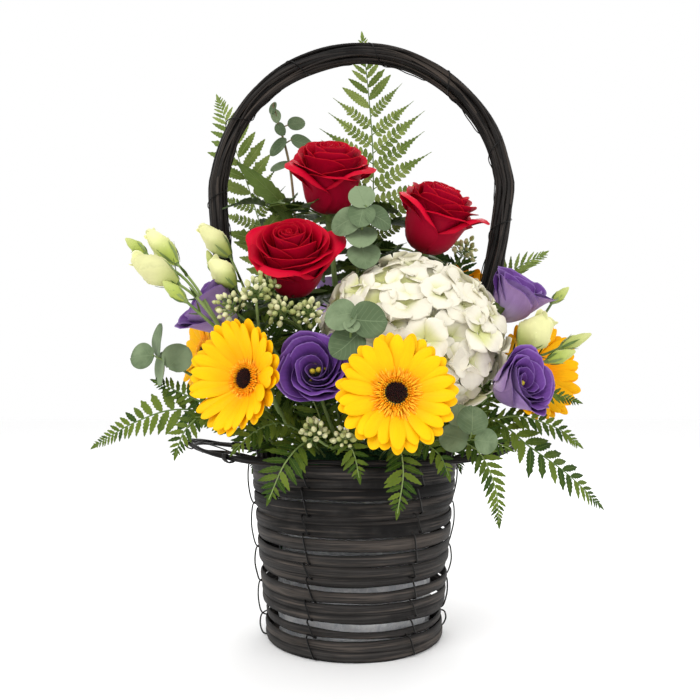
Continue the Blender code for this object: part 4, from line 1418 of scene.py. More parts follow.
@dataclass
class Plants:
    """What the plants share: their stems, leaves and whorls of petals."""

    stem_sides: int = 8
    stalk_radius: float = 0.7
    leaf_thickness: float = 0.5

    def stem(self, shape: Shape, route: Array, radius: float) -> None:
        """Add a stem that thins a little towards its top.

        Args:
            shape: Mesh to add to.
            route: Its middle line.
            radius: Radius at its foot.
        """
        route = along_route(route, max(8, int(stretches(route).sum() / 6)))
        taper = np.linspace(1.0, 0.86, len(route))
        bumps = 1.0 + 0.04 * np.sin(np.arange(len(route)) * 1.7)
        shape.tube(route, radius * taper * bumps, self.stem_sides, shape.finishes[1], 0.5)

    def leaf(self, shape: Shape, foot: Array, direction: Array, length: float, width: float,
             facing: Array, teeth: int = 0, droop: float = 0.2) -> None:
        """Add a stalked leaf.

        Args:
            shape: Mesh to add to.
            foot: Where its stalk leaves the stem.
            direction: Direction of the stalk.
            length: Length of the blade.
            width: Width of the blade.
            facing: Direction that its upper side faces.
            teeth: Number of teeth along each edge.
            droop: How far the tip sinks.
        """
        direction = unit(direction)
        start = foot + direction * length * 0.12
        shape.tube(np.linspace(foot, start + direction, 3), self.stalk_radius, 5, Finish.LEAF)
        grid = blade(start, direction, length, width, facing, droop, fold=shape.rng.uniform(0.1, 0.35),
                     teeth=teeth, rows=max(11, teeth * 2 + 1), columns=5, tip=0.7)
        ripple = shape.wander(np.linspace(0, 1, len(grid)), 0.03 * length, 0.5, 3)
        lift = unit(facing) * (ripple[:, None] * np.array([1, 0.3, 0, -0.3, -1]))[..., None]
        shape.sheet(grid + lift, self.leaf_thickness, Finish.LEAF)

    def foliage(self, shape: Shape, route: Array, span: tuple[float, float], count: int, length: float,
                ratio: float, teeth: int = 0) -> None:
        """Add leaves in a spiral up a stem, none of them pointing out of the arrangement.

        Args:
            shape: Mesh to add to.
            route: The stem's middle line.
            span: Shares of the stem where the leaves start and end.
            count: Number of leaves.
            length: Length of a leaf.
            ratio: Its width as a share of its length.
            teeth: Number of teeth along each edge.
        """
        draw = shape.rng.uniform
        start = draw(0.0, math.tau)
        for number, share in enumerate(np.linspace(*span, count)):
            point = route[int(share * (len(route) - 1))]
            out = polar(start + number * GOLDEN_ANGLE)
            away = unit(point * np.array([1.0, 1.0, 0.0]) + 0.01)
            out = unit(out - away * max(0.0, float(out @ away)) * 1.25) + UP * draw(0.15, 0.6)
            size = length * draw(0.85, 1.15)
            self.leaf(shape, point, out, size, size * ratio, UP + out * 0.3, teeth, draw(0.1, 0.35))

    def petals(self, shape: Shape, head: Head, whorls: tuple[Petal, ...], step: float) -> None:
        """Add whorls of petals, from the innermost out.

        Args:
            shape: Mesh to add to.
            head: Where the flower sits.
            whorls: Its whorls.
            step: Turn from one whorl to the next, in radians.
        """
        turn = shape.rng.uniform(0.0, math.tau)
        for whorl in whorls:
            turn += step
            for number in range(whorl.count):
                angle = turn + math.tau * number / whorl.count + shape.rng.normal(0.0, 0.08)
                shape.sheet(head.seat(whorl.grid(angle, shape.rng)), whorl.thickness)


@dataclass
class Roses(Plants):
    """Three red roses.

    Each has its facing, its stem, its roll, and the share of the stem and the bearing in degrees of
    each compound leaf.
    """

    whorls: tuple[Petal, ...] = (
        Petal(3, 0.5, -18.0, 41.0, 6.5, (88, 90, 93, 98), 0.7, 0.1, 0.5, 0.0, 0.05, points=(11, 11)),
        Petal(3, 1.8, -20.0, 44.0, 10.5, (78, 88, 93, 92), 1.2, 0.2, 0.4, 0.0, 0.06, points=(11, 11)),
        Petal(4, 2.8, -21.0, 46.0, 14.0, (66, 86, 91, 88), 1.3, 0.2, 0.3, 0.0, 0.08, points=(11, 11)),
        Petal(5, 3.4, -22.5, 48.0, 18.0, (56, 83, 88, 80), 1.4, 0.25, 0.2, 0.1, 0.10, points=(11, 11)),
        Petal(5, 4.0, -24.0, 49.5, 22.0, (38, 80, 86, 66), 1.5, 0.3, 0.1, 0.2, 0.11),
        Petal(5, 4.6, -26.0, 51.0, 26.0, (24, 79, 85, 40), 1.6, 0.35, 0.0, 0.3, 0.12),
        Petal(4, 5.0, -27.5, 51.5, 30.0, (12, 77, 85, 4), 1.7, 0.4, 0.0, 0.6, 0.12),
        Petal(3, 5.2, -28.0, 50.0, 31.0, (8, 77, 80, -30), 1.6, 0.45, 0.0, 0.9, 0.12),
        Petal(3, 5.3, -28.2, 58.0, 26.0, (8, 77, 70, -48), 1.4, 0.6, 0.0, 1.0, 0.26, 0.45, 0.5),
    )
    flowers: tuple[tuple[str, Point, Route, float, tuple[tuple[float, float], ...]], ...] = (
        ("rose_top", (0.05, -0.55, 0.83), ((-2, 6, 108), (-4, 8, 149), (-12, 16, 240), (-18, 16, 308)), 0.4,
         ((0.45, 200), (0.55, 75), (0.68, 130), (0.78, 10), (0.84, 215), (0.87, 60), (0.9, 25), (0.92, 150))),
        ("rose_left", (-0.05, -0.72, 0.69), ((-12, -8, 108), (-16, -10, 149), (-30, -14, 200),
                                             (-42, -14, 240)), 1.6,
         ((0.42, 170), (0.56, 20), (0.62, 140), (0.7, 215), (0.78, 60), (0.84, 120))),
        ("rose_right", (0.32, -0.42, 0.85), ((14, 6, 108), (18, 8, 149), (36, 20, 220), (50, 14, 275)), 2.4,
         ((0.45, 60), (0.6, 120), (0.72, 150), (0.82, 80), (0.84, 190), (0.86, 150))),
    )
    stem_radius: float = 2.5
    reach: float = 29.0
    foot: float = -31.0
    hip_heights: tuple[float, ...] = (-36.0, -33.0, -30.0, -26.5)
    hip_radii: tuple[float, ...] = (3.0, 5.0, 6.2, 5.0)
    sepals: int = 5
    sepal_length: float = 22.0
    sepal_width: float = 6.5
    teeth: int = 9

    def compound_leaf(self, shape: Shape, foot: Array, bearing: float) -> None:
        """Add a leaf of five toothed leaflets.

        Args:
            shape: Mesh to add to.
            foot: Where it leaves the stem.
            bearing: Direction in degrees round the upright.
        """
        draw = shape.rng.uniform
        length = draw(42, 54)
        flat = polar(math.radians(bearing))
        share = np.linspace(0.0, 1.0, 7)[:, None]
        route = foot + flat * length * share + UP * length * (0.5 * share - 0.45 * share ** 2)
        shape.tube(route, np.linspace(0.9, 0.5, 7), 5, Finish.LEAF)
        facing = UP + flat * 0.5
        side = np.cross(UP, flat)
        for at in (route[2], route[4]):
            for sign in (-1.0, 1.0):
                run = flat * 0.55 + side * sign + UP * draw(-0.15, 0.35)
                size = length * draw(0.48, 0.6)
                self.leaf(shape, at, run, size, size * draw(0.55, 0.66), facing, self.teeth)
        size = length * draw(0.6, 0.72)
        self.leaf(shape, route[-1], flat + UP * 0.05, size, size * 0.64, facing, self.teeth, droop=0.3)

    def rose(self, head: Head, leaves: tuple[tuple[float, float], ...]) -> None:
        """Build one rose.

        Args:
            head: Where its flower sits.
            leaves: Share of the stem and bearing in degrees of each compound leaf.
        """
        shape = Shape(head.node, Finish.ROSE, Finish.STEM, Finish.LEAF)
        draw, normal = shape.rng.uniform, shape.rng.normal
        self.petals(shape, head, self.whorls, 0.9)
        shape.tube(head.seat(spine(*self.hip_heights)), np.array(self.hip_radii) * head.scale, 12,
                   Finish.STEM, 0.5)
        for number in range(self.sepals):
            out = polar(math.tau * number / self.sepals + normal(0, 0.1))
            grid = blade(out * 4.5 + UP * self.foot, out + UP * draw(-0.5, 0.5), self.sepal_length,
                         self.sepal_width, UP - out * 0.3, droop=draw(-0.2, 0.3), fold=0.3)
            shape.sheet(head.seat(grid), 0.6, Finish.STEM)
        route = head.route()
        self.stem(shape, route, head.stem_radius)
        for share, bearing in leaves:
            self.compound_leaf(shape, route[int(share * (len(route) - 1))], bearing)
        shape.publish(f"{head.node}_bloom")

    def build(self) -> None:
        """Build the three roses."""
        for node, facing, stem, roll, leaves in self.flowers:
            self.rose(Head(node, facing, stem, self.stem_radius, self.reach, self.foot, roll=roll), leaves)


@dataclass
class Gerberas(Plants):
    """Five gerberas.

    Each row of rays is given as its number, where it starts and ends, its width, its height at the foot,
    how far its tips rise and its turn; each ring of the fringe as its number, radius and length; and
    each ring of knobs as its number and radius. A flower has its facing, its stem, its scale, its
    finish, how much farther forward its rays reach, and its shift.
    """

    rays: tuple[tuple[float, ...], ...] = ((24, 7.0, 39.0, 10.6, -2.6, 5.5, 0.0),
                                           (22, 6.5, 36.5, 9.6, -0.8, 7.5, 0.5))
    fringe: tuple[tuple[float, ...], ...] = ((62, 18.8, 7.0), (58, 16.6, 6.0), (54, 14.4, 5.0),
                                             (46, 12.4, 4.2))
    knobs: tuple[tuple[float, ...], ...] = ((38, 10.2), (36, 9.0), (30, 7.8))
    disc_radius: float = 6.8
    disc_florets: int = 130
    bracts: int = 36
    bract_length: float = 9.5
    bract_width: float = 2.6
    cup_heights: tuple[float, ...] = (-14.0, -12.0, -8.0, -4.0, -1.5, 0.6)
    cup_radii: tuple[float, ...] = (2.6, 6.0, 9.5, 10.6, 9.6, 6.5)
    stem_radius: float = 2.0
    reach: float = 4.0
    foot: float = -13.0
    roll: float = 0.3
    flowers: tuple[tuple[str, Point, Route, float, Finish, float, Point], ...] = (
        ("gerbera_front", (0.02, -0.98, 0.2), ((8, -26, 112), (12, -46, 146), (21, -72, 164)), 1.0,
         Finish.GERBERA, 3.0, (0, 0, 0)),
        ("gerbera_left", (-0.55, -0.82, 0.12), ((-22, -18, 112), (-36, -32, 146), (-52, -52, 172)), 1.0,
         Finish.GERBERA, 13.0, (1, 4, 0)),
        ("gerbera_right", (0.45, -0.87, 0.12), ((30, 6, 112), (46, 14, 146), (92, 22, 176)), 1.0,
         Finish.GERBERA_ORANGE, 14.0, (-7, 0, 0)),
        ("gerbera_left_rear", (-0.79, -0.58, 0.14), ((-28, 12, 112), (-46, 16, 146), (-84, 18, 184)), 0.86,
         Finish.GERBERA_ORANGE, 3.0, (14, 0, -1)),
        ("gerbera_right_rear", (0.5, 0.72, 0.48), ((18, 22, 108), (24, 28, 149), (54, 42, 220)), 1.0,
         Finish.GERBERA_ORANGE, 5.0, (2, 6, -13)),
    )

    def ray(self, turn: float, start: float, end: float, width: float, lift: float, rise: float,
            rng: np.random.Generator) -> Array:
        """Shape one ray round the flower's own axis.

        Args:
            turn: Its direction in radians.
            start: Distance from the axis where it starts.
            end: Distance from the axis of its tip.
            width: Full width.
            lift: Height where it starts.
            rise: How far its tip rises above that.
            rng: Random source.

        Returns:
            Points of the ray, its front up.
        """
        along = np.sin(np.linspace(0.0, 0.5, 13) * math.pi)[:, None]
        across = np.sin(np.linspace(-0.5, 0.5, 7) * math.pi)[None, :]
        tip = np.sqrt(np.maximum(1.0 - np.clip((along - 0.6) / 0.4, 0, 1) ** 2.4, 0.006))
        half = 0.5 * width * (0.3 + 0.7 * smoothstep(0.0, 0.55, along)) * tip
        distance = start + (end - start) * along
        side = across * half + rng.normal(0.0, 0.045) * (end - start) * along ** 2
        height = (lift + rise * along ** 1.2 - 2.5 * along ** 6 - 1.2 * across ** 2 * half / (0.5 * width)
                  + 0.3 * np.cos(across * math.pi * 2.0) * smoothstep(0.05, 0.3, along) * (1.0 - along ** 3)
                  + rng.normal(0.0, 0.15) * across * half)
        return turned(distance, side, height, turn)

    def centre(self, shape: Shape, head: Head) -> None:
        """Add the fringe, the knobs and the disc.

        Args:
            shape: Mesh to add to.
            head: Where the flower sits.
        """
        draw = shape.rng.uniform
        for row, (count, radius, length) in enumerate(self.fringe):
            for number in range(count):
                out = polar(math.tau * (number + 0.5 * row) / count + shape.rng.normal(0.0, 0.05))
                foot = out * (radius - length * 0.7) + UP * (1.0 + 0.6 * row)
                tip = out * (radius + draw(-0.4, 1.2)) + UP * (2.6 + 0.6 * row)
                shape.tube(head.seat(np.linspace(foot, tip, 3)), np.array([0.5, 0.6, 0.2]), 4, Finish.FRINGE)
        for count, radius in self.knobs:
            for number in range(count):
                spot = polar(math.tau * (number + draw(-0.2, 0.2)) / count, radius, 4.0)
                shape.bead(*head.placed(spot, UP), 0.6, 3.0, Finish.FRINGE, 5, rings=4)
        for number in range(self.disc_florets):
            share = (number + 0.5) / self.disc_florets
            spot = polar(number * GOLDEN_ANGLE, self.disc_radius * math.sqrt(share), 3.7 - 1.2 * share ** 2)
            axis = np.array([spot[0] * 0.05, spot[1] * 0.05, 1.0])
            shape.bead(*head.placed(spot, axis), 0.66, 2.4, Finish.DISC, 5, rings=4)

    def gerbera(self, head: Head, finish: Finish, forward: float) -> None:
        """Build one gerbera.

        Args:
            head: Where its flower sits.
            finish: Finish of its rays.
            forward: How much farther forward the tips of its rays reach.
        """
        shape = Shape(head.node, finish, Finish.STEM, Finish.FRINGE, Finish.DISC)
        rng = shape.rng
        for count, start, end, width, lift, rise, shift in self.rays:
            for number in range(count):
                turn = math.tau * (number + shift) / count + rng.normal(0.0, 0.03)
                grid = self.ray(turn, start, end + rng.normal(-0.6, 0.8), width * rng.uniform(0.92, 1.06),
                                lift + 0.8 * (number % 2) + rng.normal(0, 0.3),
                                rise + forward + rng.normal(0.0, 1.0), rng)
                shape.sheet(head.seat(grid), 0.5)
        self.centre(shape, head)
        shape.tube(head.seat(spine(*self.cup_heights)), np.array(self.cup_radii) * head.scale, 18,
                   Finish.STEM, 0.4)
        for number in range(self.bracts):
            out, share = polar(number * GOLDEN_ANGLE), number / self.bracts
            foot = out * (6.5 + 3.0 * share) + UP * (-12.0 + 7.0 * share)
            grid = blade(foot, out * 0.35 + UP, self.bract_length, self.bract_width, out, droop=-0.08,
                         fold=0.1, rows=5)
            shape.sheet(head.seat(grid), 0.5, Finish.STEM)
        self.stem(shape, head.route(), head.stem_radius)
        shape.publish(f"{head.node}_bloom")

    def build(self) -> None:
        """Build the five gerberas."""
        for node, facing, stem, scale, finish, forward, shift in self.flowers:
            self.gerbera(Head(node, facing, stem, self.stem_radius, self.reach, self.foot, scale, self.roll,
                              shift), finish, forward)


@dataclass
class Lisianthus(Plants):
    """Five open lisianthus, each with its facing, its stem, its scale, its leaves and its shift."""

    whorls: tuple[Petal, ...] = (
        Petal(3, 2.2, -20.0, 25.0, 14.0, (58, 80, 80, 66), 2.4, 0.5, 0.7, 0.2, 0.2, 0.35, points=(14, 15)),
        Petal(4, 2.8, -22.0, 31.5, 19.0, (46, 75, 75, 54), 2.8, 0.9, 0.7, 0.3, 0.2, 0.35, points=(14, 15)),
        Petal(5, 3.2, -24.0, 37.0, 23.0, (36, 71, 71, 40), 3.0, 1.2, 0.6, 0.4, 0.2, 0.35, points=(14, 15)),
        Petal(4, 3.4, -25.0, 39.0, 27.0, (30, 67, 70, 36), 2.6, 1.4, 0.5, 0.4, 0.2, 0.35, points=(14, 15)),
    )
    flowers: tuple[tuple[str, Point, Route, float, int, Point], ...] = (
        ("lisianthus_front", (-0.05, -0.95, 0.3), ((-6, -22, 112), (-12, -36, 149), (-22, -46, 178)), 1.05,
         8, (0, 0, -6)),
        ("lisianthus_left", (-0.75, -0.3, 0.58), ((-26, -8, 112), (-38, -14, 149), (-66, -22, 206)), 1.02,
         9, (12, 2, -7)),
        ("lisianthus_right_upper", (0.42, -0.42, 0.8), ((24, 16, 112), (34, 24, 149), (98, 22, 206),
                                                        (113, 6, 226)), 1.02, 5, (-8, 0, -9)),
        ("lisianthus_right_lower", (0.62, -0.74, 0.26), ((24, -18, 112), (40, -26, 146), (78, -38, 166)),
         0.98, 4, (-13, 0, -3)),
        ("lisianthus_rear", (-0.1, 0.75, 0.6), ((-8, 24, 108), (-10, 32, 149), (-12, 42, 220)), 1.0, 7,
         (0, 0, 0)),
    )
    stem_radius: float = 1.5
    reach: float = 10.0
    foot: float = -26.0
    throat_heights: tuple[float, ...] = (-24.0, -18.0, -12.0, -6.0)
    throat_radii: tuple[float, ...] = (1.6, 2.6, 2.2, 1.0)
    stamens: int = 5
    sepal_length: float = 19.0
    sepal_width: float = 2.4
    leaf_length: float = 38.0
    leaf_ratio: float = 0.42

    def flower(self, head: Head, leaves: int) -> None:
        """Build one open flower.

        Args:
            head: Where it sits.
            leaves: Number of leaves on its stem.
        """
        shape = Shape(head.node, Finish.LISIANTHUS, Finish.STEM, Finish.STIGMA, Finish.LEAF)
        self.petals(shape, head, self.whorls, 0.7)
        for side in (-1.0, 1.0):
            lobe = np.array([side * 1.9, 0.5 * side, -4.5])
            shape.bead(*head.placed(lobe, UP + np.array([side * 0.6, 0, 0])), 2.0, 4.6, Finish.STIGMA,
                       tone=0.8)
        shape.tube(head.seat(spine(*self.throat_heights)), np.array(self.throat_radii) * head.scale, 8,
                   Finish.STEM, 0.3)
        for number in range(self.stamens):
            out = polar(math.tau * number / self.stamens + 0.4)
            tip = out * 6.0 - UP * 8.0
            shape.tube(head.seat(np.linspace(out * 1.5 - UP * 20.0, tip, 4)), 0.3, 5, Finish.STIGMA, 0.5)
            shape.bead(*head.placed(tip, out + UP), 0.9, 2.8, Finish.STIGMA, 6)
            grid = blade(out * 2.4 + UP * self.foot, out * 0.55 + UP, self.sepal_length, self.sepal_width,
                         out, droop=-0.05, fold=0.2)
            shape.sheet(head.seat(grid), 0.4, Finish.STEM)
        route = head.route()
        self.stem(shape, route, head.stem_radius)
        self.foliage(shape, route, (0.45, 0.9), leaves, self.leaf_length, self.leaf_ratio)
        shape.publish(f"{head.node}_bloom")

    def build(self) -> None:
        """Build the five flowers."""
        for node, facing, stem, scale, leaves, shift in self.flowers:
            self.flower(Head(node, facing, stem, self.stem_radius, self.reach, self.foot, scale,
                             shift=shift), leaves)


@dataclass
class Hydrangea(Plants):
    """One mophead of four-petalled florets.

    The reach and the depth are its half width and half height, the widest is how far it wraps round, in
    degrees from its top, and the fork is where the stalks of the florets part.
    """

    florets: int = 66
    reach: float = 64.0
    depth: float = 37.0
    petal: float = 17.5
    widest: float = 112.0
    fork: Point = (0.0, 0.0, -26.0)
    core_heights: tuple[float, ...] = (-34.0, -30.0, -22.0, -8.0, 6.0, 14.0)
    core_radii: tuple[float, ...] = (3.0, 12.0, 32.0, 45.0, 38.0, 16.0)
    leaves: int = 9
    leaf_length: float = 60.0
    leaf_ratio: float = 0.58
    teeth: int = 12
    head: Head = Head("hydrangea", (0.08, -0.93, 0.36), ((20, -6, 108), (24, -8, 149), (34, -4, 184)), 3.0,
                      40.0, -34.0, shift=(-4.0, 0.0, -3.0))

    def floret(self, shape: Shape, centre: Array, outward: Array) -> None:
        """Add one floret.

        Args:
            shape: Mesh to add to.
            centre: Its middle, round the flower's own axis.
            outward: Direction that it faces.
        """
        draw, normal = shape.rng.uniform, shape.rng.normal
        rows = basis(outward, draw(0, math.tau), (0.3, 0.9, 0.1))
        size = self.petal * draw(0.88, 1.14)
        tone = draw()
        cup = draw(-0.06, 0.2)
        along = np.sin(np.linspace(0.0, 0.5, 10) * math.pi)[:, None]
        across = np.sin(np.linspace(-0.5, 0.5, 8) * math.pi)[None, :]
        for number in range(4):
            turn = math.tau * number / 4 + normal(0, 0.07)
            side = across * (size * 0.57 * np.sin(math.pi * np.clip(along, 0.03, 0.995) ** 1.3) ** 0.62)
            phase = draw(0, math.tau)
            distance = (0.5 + size * along * (1.0 - 0.05 * across ** 2)
                        + 0.02 * size * np.sin(side * 1.3 + phase))
            height = size * (cup * along ** 2 + 0.2 * np.sin(along * 2.9)
                             + 0.07 * np.sin(across * 3.2 + phase) * along
                             + normal(0.05, 0.08) * across ** 2 * along
                             - 0.05 * np.exp(-(across / 0.22) ** 2) * np.sin(along * math.pi))
            grid = turned(distance, side, height + (number % 2) * 0.8, turn)
            shape.sheet(self.head.seat(centre + grid @ rows), 0.4, tone=np.clip(tone + normal(0, 0.1), 0, 1))
        shape.bead(*self.head.placed(centre + outward * 0.8, outward), 1.3, 2.2, Finish.SKIMMIA, 6)

    def build(self) -> None:
        """Build the mophead with its stalks and big leaves."""
        head = self.head
        shape = Shape(head.node, Finish.HYDRANGEA, Finish.STEM, Finish.SKIMMIA, Finish.LEAF)
        shell = np.array([self.reach, self.reach * 0.95, self.depth]) - 6.0
        for number in range(self.florets):
            share = (number + 0.5) / self.florets
            tilt = math.acos(1.0 - share * (1.0 - math.cos(math.radians(self.widest))))
            outward = polar(number * GOLDEN_ANGLE, math.sin(tilt), math.cos(tilt))
            centre = outward * shell * shape.rng.uniform(0.9, 1.05)
            facing = unit(outward / shell * shell.mean() + shape.rng.normal(0, 0.1, 3))
            self.floret(shape, centre, facing)
            start = np.array(self.fork) + outward * np.array([6.0, 6.0, 4.0])
            stalk = smooth_route([start, 0.5 * (start + centre) - UP * 5.0, centre], 3)
            shape.tube(head.seat(stalk), self.stalk_radius, 5, Finish.STEM)
        shape.tube(head.seat(spine(*self.core_heights)), np.array(self.core_radii), 20, Finish.STEM, 0.1)
        route = head.route()
        self.stem(shape, route, head.stem_radius)
        self.foliage(shape, route, (0.4, 0.95), self.leaves, self.leaf_length, self.leaf_ratio, self.teeth)
        shape.publish("hydrangea_mophead")


class Cluster(Enum):
    """Sizes of a skimmia cluster: beads, spread and leaf length in millimetres."""

    FULL = (25, 10.5, 15.3)
    SMALL = (20, 7.5, 11.7)


@dataclass
class Sprigs(Plants):
    """Bud sprays, skimmia and eucalyptus.

    A spray has its stem and, for each bud, its branch, its tip, its radius and how far it has opened. A
    skimmia has its stem, the length of its leaves and, for each cluster, its branch, its tip and its
    size. A eucalyptus has its stem, the middle, facing and radius of each leaf, a leaf's length over its
    width, and the finish of its stem.
    """

    sprays: tuple[tuple, ...] = (
        ("buds_left", ((-34, -24, 112), (-46, -32, 144), (-74, -56, 196), (-91, -66, 230)), (
            (((-85.9, -62.9, 219.7), (-112, -67, 260), (-130, -63, 275), (-146, -60, 284)),
             (-160, -60, 295), 4.4, 0.0),
            (((-87.6, -63.9, 223.2), (-106, -66, 255), (-120, -61, 273), (-125, -57, 278)),
             (-147, -50, 303), 7.6, 0.2),
            (((-91, -66, 230), (-107, -72, 251), (-121, -71, 262)), (-151, -70, 279), 9.8, 0.34),
            (((-89.3, -65, 226.6), (-104, -76, 240), (-114, -78, 249)), (-129, -78, 262), 4.6, 0.0))),
        ("buds_left_inner", ((-22, -1, 112), (-30, -2, 149), (-60, -14, 212), (-76, -26, 250)), (
            (((-76, -26, 250), (-84, -26, 270), (-93, -26, 290)), (-115, -26, 313), 8.2, 0.2),
            (((-76, -26, 250), (-79, -40, 252), (-85, -52, 263)), (-101, -56, 281), 8.4, 0.3),
            (((-76, -26, 250), (-90, -22, 262), (-103, -19, 275)), (-111, -21, 295), 4.0, 0.0))),
        ("buds_right", ((32, -10, 112), (46, -14, 147), (94, -26, 190), (114, -34, 214)), (
            (((114, -34, 214), (116, -38, 216), (120, -43, 219)), (139, -48, 240), 12.0, 0.55),
            (((114, -34, 214), (134, -39, 214), (150, -42, 220)), (172, -42, 230), 4.6, 0.0),
            (((114, -34, 214), (128, -42, 209), (139, -46, 210)), (158, -50, 217), 4.8, 0.0),
            (((114, -34, 214), (132, -32, 232), (148, -28, 255)), (160, -28, 266), 3.7, 0.0))),
    )
    skimmias: tuple[tuple, ...] = (
        ("skimmia_left", ((-16, -18, 112), (-24, -26, 149), (-50, -48, 206), (-66, -66, 232)), 42.0, (
            (((-66, -66, 232), (-74, -68, 236), (-80, -70, 241)), (-95, -73, 254), Cluster.FULL),
            (((-66, -66, 232), (-66, -74, 240), (-66, -80, 248)), (-67, -85, 268), Cluster.FULL))),
        ("skimmia_middle", ((-4, -12, 112), (-6, -20, 149), (-22, -34, 200), (-34, -46, 227)), 42.0, (
            (((-33, -45, 225), (-41, -60, 234), (-47, -70, 238)), (-58, -80, 252), Cluster.FULL),
            (((-34, -46, 227), (-33, -62, 235), (-32, -74, 237)), (-31, -88, 249), Cluster.FULL),
            (((-34, -46, 227), (-46, -58, 244), (-56, -66, 256)), (-66, -72, 270), Cluster.SMALL))),
        ("skimmia_front", ((-2, -36, 118), (-2, -54, 143), (-4, -72, 150)), 20.0, (
            (((-2, -62, 147), (-16, -76, 150), (-25, -84, 156)), (-31, -91, 171), Cluster.FULL),
            (((-4, -72, 150), (-6, -78, 151), (-7, -83, 153)), (-8, -90, 164), Cluster.SMALL))),
        ("skimmia_rear", ((8, 20, 108), (10, 26, 149), (44, 40, 240), (76, 30, 284)), 26.0, (
            (((76, 30, 284), (82, 26, 292), (88, 22, 299)), (96, 18, 315), Cluster.FULL),
            (((60, 36, 264), (58, 50, 282), (54, 58, 292)), (52, 64, 309), Cluster.FULL))),
    )
    eucalypts: tuple[tuple, ...] = (
        ("eucalyptus_centre", ((4, -4, 108), (4, -5, 149), (0, 6, 230), (3, -12, 284), (5, -44, 298),
                               (6, -50, 322)), (
            ((5, -54, 326), (0, -0.93, 0.35), 9.6), ((-6, -52, 308), (-0.4, -0.9, 0.3), 11.5),
            ((17, -52, 311), (0.5, -0.8, 0.4), 11.0), ((5, -57, 312), (0, -0.93, 0.3), 9.8),
            ((5, -53, 298), (0, -0.8, 0.6), 11.5), ((7, -50, 285), (0, -0.85, 0.5), 12.0))),
        ("eucalyptus_front", ((2, -30, 114), (2, -42, 149), (-4, -66, 180), (-3, -94, 208),
                              (-2, -99, 236)), (
            ((-9, -101, 236), (-0.3, -0.9, 0.3), 11.0), ((9, -101, 233), (0.3, -0.95, 0.2), 12.5),
            ((-5, -100, 218), (-0.2, -0.9, 0.4), 12.5), ((-2, -105, 229), (0.1, -0.8, 0.6), 5.5))),
        ("eucalyptus_left", ((-36, 0, 116), (-53, -8, 142), (-100, -22, 186), (-134, -32, 208),
                             (-146, -34, 214)), (
            ((-156, -35, 214), (-0.3, -0.9, 0.2), 10), ((-144, -34, 226), (-0.86, -0.5, 0.05), 12.5),
            ((-142, -34, 205), (-0.86, -0.5, 0.05), 12.5), ((-129, -38, 213), (0.3, -0.9, 0.2), 11.0))),
        ("eucalyptus_right", ((22, -32, 116), (35, -42, 142), (60, -70, 152), (76, -88, 156)), (
            ((77, -92, 169), (0, -0.9, 0.4), 10.2), ((86, -93, 155), (0.3, -0.9, 0), 8.6),
            ((66, -84, 157), (-0.3, -0.9, 0.3), 10.2), ((70, -80, 172), (-0.2, -0.8, 0.5), 8.5))),
        ("eucalyptus_rear", ((-12, 14, 108), (-18, 20, 149), (-44, 34, 280), (-52, 28, 370),
                             (-66, 24, 424)), (
            ((-62, 26, 390), (-0.5, -0.8, 0.2), 6.5), ((-42, 26, 393), (0.5, -0.8, 0.3), 7.5),
            ((-60, 26, 374), (-0.2, -0.7, 0.7), 6.5), ((-47, 25, 409), (0.4, -0.9, 0), 5.5),
            ((-60, 24, 404), (-0.4, -0.9, 0), 4.5), ((-64, 24, 415), (0.4, -0.9, 0.2), 4.5),
            ((-66, 24, 421), (-0.6, -0.8, 0.2), 4.0), ((-40, 34, 300), (0.5, 0.8, 0.3), 10),
            ((-54, 34, 316), (-0.5, 0.8, 0.3), 10)), 1.45, Finish.TWIG),
    )
    spray_stem: float = 1.4
    skimmia_stem: float = 1.2
    eucalyptus_stem: float = 1.15
    branch_radius: float = 0.95
    bud_sides: int = 30
    sepals: int = 5
    sepal_width: float = 2.1
    leaflet_length: float = 10.0
    leaflet_width: float = 2.2

    def bud(self, shape: Shape, foot: Array, tip: Array, radius: float, opened: float) -> None:
        """Add one bud of petals wrapped into a spiral, with its thin sepals.

        Args:
            shape: Mesh to add to.
            foot: Where it sits on its stalk.
            tip: Its tip.
            radius: Largest radius.
            opened: How far its mouth has opened, from 0 to 1.
        """
        draw = shape.rng.uniform
        length = float(np.linalg.norm(tip - foot))
        share = np.linspace(0.0, 1.0, 20)
        route = foot + (tip - foot) * share[:, None]
        side = basis(tip - foot)[0]
        route = route + side * (0.04 * length * np.sin(share * math.pi) * draw(-1, 1))[:, None]
        closed = np.sin(math.pi * np.clip(share * 0.91 + 0.055, 0, 1)) ** 0.62 * (1.0 - 0.30 * share ** 2)
        mouth = (np.sin(math.pi * 0.5 * np.clip(share / 0.5, 0.12, 1))
                 * (1.0 - 0.25 * smoothstep(0.6, 1, share)))
        profile = radius * (closed * (1.0 - opened) + mouth * opened)
        sides = self.bud_sides
        spiral = ((np.arange(sides) / sides)[None, :] * 4 + share[:, None] * (2.2 - opened)) % 1.0
        swell = 1.0 + 0.2 * spiral ** 2.5 * np.sin(math.pi * np.clip(share, 0.08, 1.0))[:, None]
        reach = 0.96 if radius > 5.0 else 0.34
        wrapped = np.stack([spiral * 2.0 - 1.0, np.repeat(share[:, None] * reach, sides, axis=1),
                            np.ones_like(spiral)], axis=-1)
        shape.tube(route, np.maximum(profile, 0.5), sides, swell=swell / swell.mean(), surface=wrapped)
        rows = basis(tip - foot, draw(0, 1))
        if opened:
            for number in range(round(2 + opened * 13)):
                petal = Petal(9, 0.8 + number * 0.055 * radius, 0.0,
                              length * (0.26 + 0.2 * opened + 0.012 * number),
                              radius * (0.34 + 0.04 * number), (66, 84, 88, 84 - 4 * number), 0.9, 0.35, 0.5,
                              0.3, 0.25, 0.3, points=(9, 11))
                grid = petal.grid(number * GOLDEN_ANGLE, shape.rng)
                shape.sheet(foot + (tip - foot) * 0.66 + grid @ rows, 0.3)
        for number in range(self.sepals):
            angle = math.tau * number / self.sepals + draw(0, 0.5)
